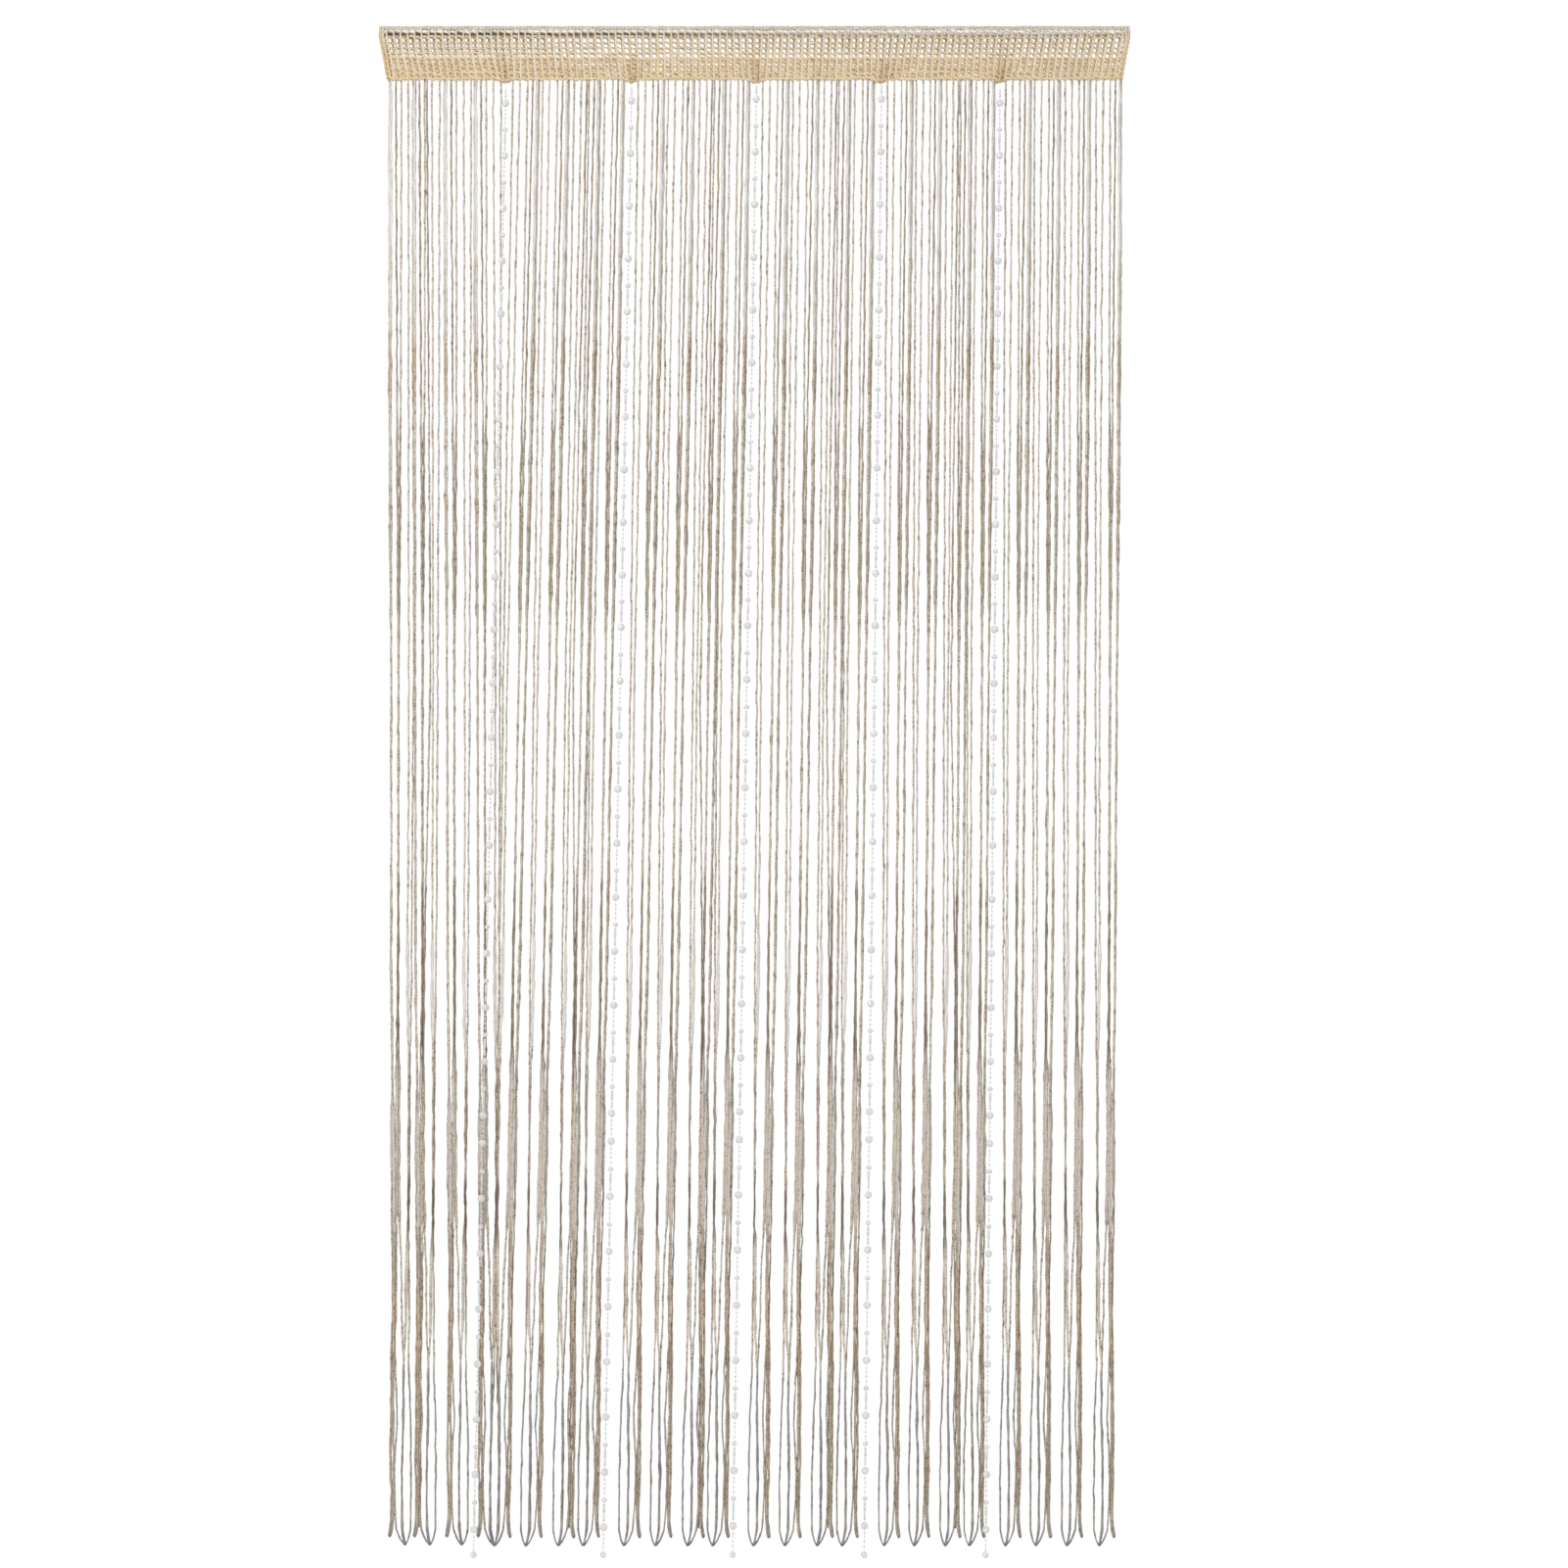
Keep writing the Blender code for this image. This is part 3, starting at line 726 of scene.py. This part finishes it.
def yarn_surface(bench):
    """Two plies of dyed wool, with fibres, nubs and slubs."""
    ply = twist(bench, TWIST_PITCH) * 0.5 + 0.5
    slack = (bench.mark("pale") + bench.mark("loose") * 0.6).step(0, 0.9)
    crisp = 1 - slack  # where the twist shows, and not the fibres
    groove_shade = (1 - ply) ** 3 * crisp
    cloud = bench.noise(9 * MM, 3)
    fibre = bench.noise(0.7 * MM, 2, stretch=(1, 1, 0.35))
    streak = bench.noise(1.3 * MM, 2, stretch=(1, 1, 0.04))
    nub = bench.noise(2.8 * MM, 1, stretch=(1, 1, 0.8)).step(0.56, 0.66)
    tone = bench.mix(cloud.step(0.35, 0.65), rgb(203, 191, 172), rgb(219, 209, 190))
    for dye, colour in DYE_COLOURS.items():
        share = (bench.mark(dye) * (cloud + 0.55)).step(0.05, 0.85)
        tone = bench.mix(share, tone, colour)
    tone = bench.mix(bench.mark("loose") * 0.55, tone, rgb(228, 220, 210))
    tone = bench.mix(streak.step(0.42, 0.62) * (1 - crisp) * 0.6, tone, rgb(190, 184, 176))
    tone = bench.mix(fibre.step(0.5, 0.75) * (1 - crisp) * 0.5, tone, rgb(140, 130, 118))
    # Dark slubs, and the painted shade at the tips of the loops, which shares their mark.
    tone = bench.mix(bench.mark("slub") * (fibre + 0.15) * crisp, tone, rgb(92, 81, 67))
    tone = bench.mix(nub * (crisp * 0.5 + 0.2), tone, rgb(113, 99, 81))
    # Painted shade in the groove of the twist, with darker fibres over it.
    tone = bench.mix(groove_shade * 0.50 + fibre * 0.22, tone, bench.mix(0.5, tone, rgb(84, 75, 63)))
    return {
        "Base Color": tone,
        "Roughness": 0.95 - fibre * 0.15,
        "Normal": bench.bump(ply * crisp * 0.8 + fibre * 0.35, 0.6 * MM),
    }


yarn = finish("slub_yarn", {"Sheen Weight": 0.25, "Sheen Roughness": 0.5, "Specular IOR Level": 0.25}, yarn_surface)
print("the yarn's plies go round once in", round(TWIST_PITCH / MM, 1), "mm")

# %% [markdown]
# Each panel of yarn is one piece. All 24 groups in one mesh would be too heavy to handle, and 149 single legs too many
# to keep in view. The groups of a panel step away from its bead strand, and lie a little further from it at the floor
# than under the heading. The very last group hangs further out than the steps say.

# %% Make the six panels
yarn_pieces = []
for number, panel in enumerate(PANELS, start=1):
    outwards = panel.side * panel.stretch
    groups = [
        [panel.top_x + outwards * root * MM, panel.bottom_x + outwards * end * MM] for root, end in GROUP_STEPS
    ]
    if number == len(PANELS):
        groups[-1] = [x + LAST_GROUP_OUTSET for x in groups[-1]]
    yarn_pieces.append(make_panel(number, panel, groups, yarn))
for piece in yarn_pieces:
    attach(piece, "root")
    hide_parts("yarn_fringe")

# %% [markdown]
# ## The crocheted heading
#
# The heading is a band of golden yarn, worked as columns of chain stitch with thin slanting bars between them, like a
# ladder, and closer zigzags in its lower third, where the loops of yarn hang. It is folded over the rod, so the
# columns run up the front, over the rod and down the back. A sheet with a picture of holes would look flat beside the
# real strands, so each column and bar is laid as its own tube on the band's surface. `on_band` is that surface: it
# turns a place across the band and a distance from its fold into a point.
#
# The two layers don't lie exactly behind each other, which half closes the holes as in the photograph.

# %% Shape the band
BAND_RADIUS, BAND_CENTRE_Z, LAYER_Y = 8.8 * MM, -0.4 * MM, 1.45 * MM
ARC_END, ARC_POINTS = 205, 30  # where the band leaves its round over the rod, in degrees, and the points up to there
HALF_SPAN = HEADING_BOTTOM_WIDTH / 2
GATHER, GATHER_REACH = 0.25, 30 * MM  # the columns lean in towards a bead strand
BACK_SHIFT_X = np.array([-300, -200, -100, 100]) * MM
BACK_SHIFTS = np.array([4.3, 1.8, 1.8, 3.0]) * MM  # how far the back layer hangs to the left at each x
BACK_PULL_LENGTH, SIDE_EDGE = 25 * MM, 15 * MM  # its shift grows over these from the fold and the sides
BAND_POINTS, ROUND_POINTS, BAND_EVENING = 301, 20, 14  # down the band, left round on its fold, and how widely evened

turns = np.radians(np.linspace(90, ARC_END, ARC_POINTS))
outline = np.column_stack([BAND_RADIUS * np.cos(turns), BAND_CENTRE_Z + BAND_RADIUS * np.sin(turns)])
outline = np.vstack([outline, (-LAYER_Y, HEADING_NECK_Z), (-LAYER_Y, HEADING_BOTTOM_Z)])
corners_at = lengths_along(outline)
even = np.linspace(0, corners_at[-1], BAND_POINTS)
outline = np.column_stack([np.interp(even, corners_at, column) for column in outline.T])
outline[ROUND_POINTS:] = smooth(outline[ROUND_POINTS:], BAND_EVENING)  # rounds the way down from the rod
outline_at = lengths_along(outline)
BAND_HALF = outline_at[-1]


def back_shift(x):
    """How far the back layer of the band hangs to the left of the front one."""
    return np.interp(x, BACK_SHIFT_X, BACK_SHIFTS)


def on_band(x, s):
    """Points of the band: x is across it at its lower edge, and s down from its fold, negative on the back."""
    x, s = np.broadcast_arrays(np.asarray(x, float), np.asarray(s, float))
    y = np.sign(s) * np.interp(np.abs(s), outline_at, outline[:, 0])
    z = np.interp(np.abs(s), outline_at, outline[:, 1])
    hang = np.clip(z / HEADING_BOTTOM_Z, 0, None)
    slope = np.clip((z - HEADING_BOTTOM_Z) / (-ROD_RADIUS - HEADING_BOTTOM_Z), 0, 1)  # 1 from the rod's underside up
    widening = 1 + (HEADING_TOP_WIDTH / HEADING_BOTTOM_WIDTH - 1) * slope
    inside = np.clip((HALF_SPAN - np.abs(x)) / SIDE_EDGE, 0, 1)
    pull = -back_shift(x) * np.clip(-s / BACK_PULL_LENGTH, 0, 1) * inside
    for panel in STRAND_PANELS:
        away = x - panel.top_x
        pull = pull - GATHER * away * np.exp(-((away / GATHER_REACH) ** 2)) * hang ** 2
    return np.column_stack([
        x * widening + pull,
        y + edge_fold(x) * hang,
        z + (edge_z(x) - HEADING_BOTTOM_Z) * hang ** 2,
    ])


print("the band is", round(2 * BAND_HALF / MM), "mm long from front edge to back edge")

# %% [markdown]
# A column swells at each stitch and is drawn thin over the rod. Bars join the columns at each stitch, in seven open
# rows and four close ones on each side of the fold. A row is one long tube across the band, which falls in each gap
# and climbs again at the column. Made singly, the bars would be some 2,500 short tubes with loose ends. Zigzags fill
# the close rows, and a scalloped cord makes the hem.

# %% Lay a column
GAPS = 108
SIDE_INSETS = 1.2 * MM  # of the outermost columns, both together
COLUMN_PITCH = (HEADING_BOTTOM_WIDTH - SIDE_INSETS) / GAPS
STITCH = 6.7 * MM  # one chain stitch, and one bar, in each
COLUMN_HALF_WIDTH, COLUMN_HALF_DEPTH = 1.85 * MM, 1.25 * MM
COLUMN_X = (np.arange(GAPS + 1) - GAPS / 2) * COLUMN_PITCH
COLUMN_SHARE = 0.985  # of the band's length; the hem hangs lower
POINTS_PER_STITCH = 3
COLUMN_WAIST, STITCH_SWELL, SWELL_POWER = 0.68, 0.48, 1.5  # a column's size between stitches, and what one adds
THINNED, THIN_REACH, THIN_BORDER = 0.40, 21 * MM, 6 * MM  # the columns are stretched thin over the rod
COLUMN_WANDER = (12 * MM, 0.35 * MM)
# The back layer's paler colour, which BACK_FADE fades in, is painted light on its side that lies in shade.
SIDE_SHADE_REACH, BACK_FADE = 6 * MM, 12 * MM  # how far the side's colour and the back's fade in


def band_marks(x, s, shade=0):
    """What the finish reads: how far down a point is, if it is on the back, where it gets painted light, and how
    closely it is gathered or edged.
    """
    depth = np.abs(s) / BAND_HALF
    edge = np.clip(1 - (HALF_SPAN - np.abs(x)) / SIDE_SHADE_REACH, 0, 1)
    gather = strand_bumps(x, PINCH_REACH) * depth + edge * (0.4 + 0.6 * depth)
    return dict(depth=depth, gather=gather, behind=np.clip(-s / BACK_FADE, 0, 1), shade=shade * (0.3 + 0.7 * depth))


def lay_column(bundle, x, rng, size=1.0, thinned=THINNED, turn=0, shade=0):
    """One column of chain stitch, up the front, over the rod and down the back, thickest where the bars meet it."""
    steps = math.ceil(BAND_HALF / STITCH * POINTS_PER_STITCH)
    s = np.clip(np.arange(steps, -steps - 1, -1) * STITCH / POINTS_PER_STITCH, -BAND_HALF, BAND_HALF) * COLUMN_SHARE
    swell = COLUMN_WAIST + STITCH_SWELL * np.abs(np.cos(np.pi * (s / STITCH + turn))) ** SWELL_POWER
    swell *= 1 - thinned * np.clip((THIN_REACH - np.abs(s)) / THIN_BORDER, 0, 1)
    path = on_band(x + wander(-s, *COLUMN_WANDER, rng), s)
    bundle.lay(
        path, size * COLUMN_HALF_WIDTH * swell, COLUMN_HALF_DEPTH * swell, (1, 0, 0), sides=6,
        thin=0.0, tint=rng.uniform(), **band_marks(x, s, shade),
    )


print("the columns stand", round(COLUMN_PITCH / MM, 2), "mm apart")

# %% Lay a row of bars
BAR_RADIUS, BAR_SLANT, BAR_DROP = 0.78 * MM, 0.9 * MM, 0.3 * MM
BAR_JITTER, BAR_SIZES, BAR_END_SIZE = 0.6 * MM, (0.7, 1.35), 1.45  # how far off its row, how thick, and at a column
BAR_POINTS = (0.2, 0.5, 0.8)  # where the points of a bar lie across its gap
BAR_WANDER = (20 * MM, 0.4 * MM)
BACK_RAISE = 0.34  # the back rows lie this much higher, as a share of the layers' distance from the rod


def layer_s(s):
    """s on the front layer. On the back layer the rows lie a little higher, and show between the front ones."""
    return s + (BACK_RAISE * np.interp(-s, outline_at, -outline[:, 0]) if s < 0 else 0)


def lay_bars(bundle, s, rng, size=1.0):
    """One row of bars, thick at the columns and thin between. Each falls a little from left to right."""
    places = (np.arange(GAPS)[:, None] + BAR_POINTS).ravel()
    slant = np.tile([1, 0, -1], GAPS) * BAR_SLANT
    x = COLUMN_X[0] + places * COLUMN_PITCH
    uneven = np.repeat(rng.normal(0, BAR_JITTER, GAPS), len(BAR_POINTS))
    s = layer_s(s) - np.sign(s) * slant + size * wander(x, *BAR_WANDER, rng) + uneven
    radius = size * BAR_RADIUS * np.tile([BAR_END_SIZE, 1.0, BAR_END_SIZE], GAPS)
    radius = radius * np.repeat(rng.uniform(*BAR_SIZES, GAPS), len(BAR_POINTS))
    marks = dict(thin=2 - size, tint=rng.uniform(), **band_marks(x, s))
    bundle.lay(on_band(x, s), radius, radius, (0, 0, 1), sides=4, **marks)


print("a row has", GAPS, "bars")

# %% Lay the close work and the hem
ZIGZAG_RADIUS, ZIGZAG_RISE, ZIGZAG_WANDER = 0.8 * MM, 1.6 * MM, (15 * MM, 0.25 * MM)
HEM_RADIUS, HEM_WAVE = 1.0 * MM, 1.2 * MM
# The hem takes the palest tint: painted light on its underside, which lies in shade.
HEM_POINTS, HEM_PAINTED_LIGHT_TINT = 6 * GAPS, 0.95
THICKNESS_WANDER = (8 * MM, 0.15)


def lay_zigzag(bundle, s, flip, rng, size):
    """One row of the close work: up and down once between each two columns."""
    places = np.arange(0, GAPS + 0.01, 0.25)
    rise = np.tile([-1, 0, 1, 0], GAPS + 1)[:len(places)] * ZIGZAG_RISE * flip
    x = COLUMN_X[0] + places * COLUMN_PITCH
    s = np.clip(layer_s(s) + rise, -BAND_HALF, BAND_HALF) + wander(x, *ZIGZAG_WANDER, rng)
    radius = size * ZIGZAG_RADIUS * (1 + wander(x, *THICKNESS_WANDER, rng))
    bundle.lay(on_band(x, s), radius, radius, (0, 0, 1), sides=4, thin=0.0, tint=rng.uniform(), **band_marks(x, s))


def lay_hem(bundle, side, rng):
    """The thicker cord along the lower edge, in small scallops, which the loops of yarn hang from."""
    x = np.linspace(-HALF_SPAN, HALF_SPAN, HEM_POINTS)
    s = side * (BAND_HALF - HEM_RADIUS + HEM_WAVE * np.cos(2 * np.pi * (x - COLUMN_X[0]) / COLUMN_PITCH))
    radius = HEM_RADIUS * (1 + wander(x, *THICKNESS_WANDER, rng))
    # Its tint is the palest, as painted light on its shaded underside.
    bundle.lay(on_band(x, s), radius, radius, (0, 0, 1), sides=4, thin=0.0, tint=HEM_PAINTED_LIGHT_TINT, **band_marks(x, s))


print("the hem has", GAPS, "scallops")

# %% [markdown]
# Now the whole heading is worked in one bundle: first the columns, with a few closer ones along either side, then the
# row on the fold, and then front and back alike from the fold down to the hem. The bars grow thicker towards the
# close work, whose first rows are thin again, so the change doesn't show as a line.

# %% Work the whole heading
OPEN_ROWS, CLOSE_ROWS = 7, 4  # on each side of the fold
BAR_GROWTH, GROWTH_START = 0.4, 4  # the bars grow thicker by this share, from this open row down to the last one
CLOSE_SIZES, CLOSE_BAR_SIZE = (0.65, 0.85, 1.05, 1.1), 1.5  # the close rows begin thin, and their bars are thicker
CLOSE_BAR_AT, ZIGZAG_AT = 0.9, 0.4  # how far down in a close row they lie, as a share of a stitch
EdgeColumn = namedtuple("EdgeColumn", "inset size turn shade")  # inset is a share of a gap, and turn of a stitch
EDGE_COLUMNS = (EdgeColumn(0.40, 0.9, 0.5, 0), EdgeColumn(0.04, 0.8, 0.5, 0), EdgeColumn(-0.06, 0.45, 0, 1))
HEADING_SEED = 7

rng = np.random.default_rng(HEADING_SEED)
band = Bundle()
for x in COLUMN_X:
    lay_column(band, x, rng)
for side in (-1, 1):
    for edge in EDGE_COLUMNS:
        x = side * (COLUMN_X[-1] - edge.inset * COLUMN_PITCH)
        lay_column(band, x, rng, edge.size, thinned=0, turn=edge.turn, shade=edge.shade)
lay_bars(band, 1e-6, rng)  # the row on the fold, a hair to the front so that it has a side
for side in (1, -1):
    for row in range(1, OPEN_ROWS + 1):
        size = 1 + BAR_GROWTH * max(0, row - GROWTH_START) / (OPEN_ROWS - GROWTH_START)
        lay_bars(band, side * (row * STITCH + BAR_DROP), rng, size)
    for row, size in zip(range(OPEN_ROWS, OPEN_ROWS + CLOSE_ROWS), CLOSE_SIZES):
        lay_bars(band, side * (row + CLOSE_BAR_AT) * STITCH, rng, CLOSE_BAR_SIZE * size)
        lay_zigzag(band, side * (row + ZIGZAG_AT) * STITCH, side, rng, size)
    lay_hem(band, side, rng)
print("the heading has", len(COLUMN_X), "columns and", 2 * (OPEN_ROWS + CLOSE_ROWS) + 1, "rows of bars")

# %% [markdown]
# The heading's yarn is golden and a little shiny. The chain stitches show as pale lumps with darker creases between
# them, the creases darkened with painted shade in the twist's groove; the thin bars are greyer, and the close work at
# the bottom is the most golden. The back layer is painted paler, as painted light on its shaded side, and the hem is
# given the palest tint, as painted light on its shaded underside. Where the columns are gathered above a bead strand,
# and along the sides, the yarn is deeper in colour. One noise could not know any of these places, so as with the loops
# of yarn the colour comes from marks on the strands, and from noise on top.

# %% Finish the heading
def crochet_surface(bench):
    """Golden twisted yarn, by the place of a strand in the band."""
    ply = twist(bench, 3.0 * MM) * 0.5 + 0.5
    groove_shade = (1 - ply) ** 2
    fibre = bench.noise(0.6 * MM, 2)
    cloud = bench.noise(22 * MM, 3)
    depth = bench.mark("depth")
    tone = bench.mix(depth.step(0.45, 0.8), rgb(238, 222, 194), rgb(240, 215, 174))
    tone = bench.mix(cloud.step(0.45, 0.7) * 0.5, tone, rgb(222, 190, 142))
    tone = bench.mix(bench.mark("tint").step(0.5, 1.0) * 0.5, tone, rgb(250, 238, 212))
    tone = bench.mix(bench.mark("thin") * 0.5, tone, rgb(208, 192, 164))
    # The back layer is painted paler: painted light on its shaded side.
    tone = bench.mix(bench.mark("behind") * 0.5, tone, rgb(252, 242, 222))
    tone = bench.mix(bench.mark("gather").step(0.1, 1.0) * 0.7, tone, rgb(202, 168, 116))
    tone = bench.mix(bench.mark("shade").step(0.1, 0.6) * 0.8, tone, rgb(140, 112, 80))
    tone = bench.mix((1 - depth.step(0.12, 0.26)) * 0.75, tone, rgb(206, 200, 190))
    # Painted shade in the groove of the twist: the darker creases between stitches, with darker fibres over it.
    tone = bench.mix(groove_shade * 0.45 + fibre * 0.2, tone, rgb(176, 148, 104))
    return {
        "Base Color": tone,
        "Roughness": 0.75 - ply * 0.15,
        "Normal": bench.bump(ply + fibre * 0.4, 0.35 * MM),
    }


crochet = finish("golden_crochet", {"Sheen Weight": 0.3, "Specular IOR Level": 0.35}, crochet_surface)
heading = band.piece("heading_crochet", [crochet])
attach(heading, "root")
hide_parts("heading")

# %% [markdown]
# ## Bead strands
#
# A strand is a thin clear thread with a pattern that repeats every 70 mm: a large cut bead, four seed beads, a small
# cut bead, and two clear tubes with a seed bead between them. The cut beads are spheres of few flat faces, with their
# poles pushed in to flat tables, which catches the light as facets do. A smooth sphere with a bump would keep a round
# outline. Seeds and tubes are small enough to be smooth. They are made once and copied along the thread.

# %% Make the beads
def ball(around, rows, radius, half_height, cut=True):
    """A bead with around faces in each of rows. A cut one is flat-faced, and its poles are pushed in to tables."""
    bm = bmesh.new()
    bmesh.ops.create_uvsphere(bm, u_segments=around, v_segments=rows, radius=1)
    # The operator lists its faces in another order each run. Sorted by their places, the mesh is always the same.
    bm.faces.sort(key=lambda face: face.calc_center_median().dot(Vector((1, 3, 9))))
    if cut:
        table = max(vert.co.z for vert in bm.verts if vert.co.z < 0.999)  # the ring next to the pole
        for vert in bm.verts:
            vert.co.z = max(-table, min(table, vert.co.z))
    bmesh.ops.scale(bm, vec=(radius, radius, half_height), verts=bm.verts)
    return blank_mesh(bm, smooth=not cut)


def tube(radius, length):
    """A clear tube bead with softened ends."""
    bm = bmesh.new()
    bmesh.ops.create_cone(bm, cap_ends=True, segments=8, radius1=radius, radius2=radius, depth=length)
    rims = [edge for edge in bm.edges if abs(edge.verts[0].co.z - edge.verts[1].co.z) < 1e-6]
    bmesh.ops.bevel(
        bm, geom=rims, offset=0.25 * radius, offset_type="OFFSET", affect="EDGES", segments=1, profile=0.5, material=-1
    )
    return blank_mesh(bm, smooth=True)


LARGE = ball(10, 6, 4.9 * MM, 5.2 * MM)
SMALL = ball(8, 5, 3.6 * MM, 3.4 * MM)
END = ball(8, 6, 4.3 * MM, 4.4 * MM)
SEED = ball(7, 4, 1.5 * MM, 1.2 * MM, cut=False)
LONG_TUBE = tube(1.6 * MM, 11.6 * MM)
SHORT_TUBE = tube(1.3 * MM, 7.8 * MM)
print("a large bead has", len(LARGE[0].polygons), "faces")

# %% [markdown]
# The thread is stitched to the front of the heading, and comes forward to hang clear of the yarn. The large beads hang
# in three runs, each of its own even pitch, and the pattern between two of them is stretched or squeezed to fit.
# Every bead is a turned copy of its blank, in one mesh with its thread. Instances would be lighter, but then each
# would be an object of its own, some 250 to a strand.

# %% Place the beads
PERIOD = (  # mm below a large bead, and what hangs there
    (9.7, SEED), (14.8, SEED), (20.8, SEED), (26.9, SEED), (35.4, SMALL), (45.9, LONG_TUBE), (53.1, SEED),
    (58.5, SHORT_TUBE),
)
BeadRun = namedtuple("BeadRun", "first_z pitch count")
BEAD_RUNS = (
    BeadRun(first_z=-87.3 * MM, pitch=68.7 * MM, count=10),
    BeadRun(first_z=-773.7 * MM, pitch=70.4 * MM, count=10),
    BeadRun(first_z=-1443.7 * MM, pitch=71.9 * MM, count=8),
)
PERIOD_LENGTH, SHORTEST_PERIOD = 69.5 * MM, 0.8  # a shorter gap than this share has only the seed beads
END_BEAD_Z = -1985 * MM
STRAND_Y, STITCH_Y = -9.2 * MM, -3.7 * MM  # where the thread hangs, and where it is stitched
EDGE_CLEARANCE, BEAD_CLEARANCE = 2 * MM, 4 * MM  # it comes forward from above the hem to above its first large bead


def strand_centre(panel, z):
    """Where the thread is at height z: stitched to the heading's front, then hanging in front of the yarn."""
    top_z = float(edge_z(panel.top_x))
    drop = np.clip((top_z - z) / (top_z - END_BEAD_Z), 0, 1)
    x = panel.top_x + (panel.bottom_x - panel.top_x) * drop
    start, end = top_z + EDGE_CLEARANCE, BEAD_RUNS[0].first_z - panel.bead_drop + BEAD_CLEARANCE
    ease = np.clip((start - z) / (start - end), 0, 1)
    y = STITCH_Y + edge_fold(panel.top_x) * (1 - ease) + (STRAND_Y - STITCH_Y) * np.sqrt(ease)
    return np.column_stack([x, y, z])


def bead_places(bead_drop):
    """Every bead of a strand as its height and its shape."""
    larges = [run.first_z - i * run.pitch - bead_drop for run in BEAD_RUNS for i in range(run.count)]
    places = [(larges[0] + PERIOD_LENGTH - drop * MM, bead) for drop, bead in PERIOD[-2:]]
    for z, next_z in zip(larges, larges[1:] + [END_BEAD_Z]):
        places.append((z, LARGE))
        room = (z - next_z) / PERIOD_LENGTH
        pattern, scale = (PERIOD, room) if room > SHORTEST_PERIOD else (PERIOD[:4], 1)
        places += [(z - drop * MM * scale, bead) for drop, bead in pattern]
    places.append((END_BEAD_Z, END))
    return places


print("a strand has", len(bead_places(0)), "beads and tubes")

# %% Thread a strand
STITCH_TOP_Z, THREAD_END = -55 * MM, 4 * MM  # where the thread starts, and how far it passes its end bead's middle
THREAD_RADIUS, THREAD_SECTIONS = 0.3 * MM, 240
STRAND_SEED = 200


def make_strand(number, panel, material):
    """One strand with its thread. Each bead is turned at random."""
    rng = np.random.default_rng(STRAND_SEED + number)
    bundle = Bundle()
    z = np.linspace(STITCH_TOP_Z, END_BEAD_Z - THREAD_END, THREAD_SECTIONS)
    bundle.lay(strand_centre(panel, z), THREAD_RADIUS, THREAD_RADIUS, (0, 1, 0), sides=4)
    for height, (mesh, blank) in bead_places(panel.bead_drop):
        centre = strand_centre(panel, np.array([height]))[0]
        turn = rng.uniform(0, 2 * np.pi)
        cos, sin = np.cos(turn), np.sin(turn)
        spin = np.array([[cos, sin, 0], [-sin, cos, 0], [0, 0, 1]])
        bundle.add(mesh, blank @ spin + centre, dict(along=0.0, round_x=0.0, round_y=0.0))
    return bundle.piece(f"beads_{number}", [material])


print("a thread is", round(2 * THREAD_RADIUS / MM, 1), "mm thick")

# %% [markdown]
# The beads are clear and slightly milky. Perfectly clear glass would vanish on a white ground, and an opaque white
# would look like chalk close up. So a good third of the light goes through, and the rest is scattered at the surface,
# with a soft haze in its colour and its polish. The index is low, or every bead would have a dark rim.

# %% Finish the beads
def glass_surface(bench):
    """Milky clear glass."""
    haze = bench.noise(2.5 * MM, 2)
    return {
        "Base Color": bench.mix(haze, rgb(230, 229, 231), rgb(243, 242, 244)),
        "Roughness": haze * 0.06 + 0.02,
    }


glass = finish("clear_cut_glass", {"Transmission Weight": 0.38, "IOR": 1.33}, glass_surface)
for number, panel in enumerate(STRAND_PANELS, start=1):
    strand = make_strand(number, panel, glass)
    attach(strand, "root")
    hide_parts(f"bead_strand_{number}")

# %% [markdown]
# ## The rod
#
# The rod is a thin bright tube, plain and round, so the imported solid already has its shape, and a new piece would add
# nothing. It only needs a finish: polished metal with the faint lengthwise draw marks of tube stock, which break up
# its reflections.

# %% Polish the rod
def rod_surface(bench):
    """Bright metal with draw marks along it."""
    drawn = bench.noise(1.2 * MM, 3, stretch=(0.03, 1, 1))
    worn = bench.noise(40 * MM, 3)
    return {
        "Base Color": bench.mix(worn, rgb(242, 240, 236), rgb(250, 248, 245)),
        "Roughness": drawn * 0.08 + 0.08,
        "Normal": bench.bump(drawn, 0.02 * MM, 0.4),
    }


rod = frame["nodes"]["rod"]
silver = finish("bright_silver_tube", {"Metallic": 1.0}, rod_surface)
for slot in rod.material_slots:
    slot.material = silver
print("rod slots:", len(rod.material_slots))
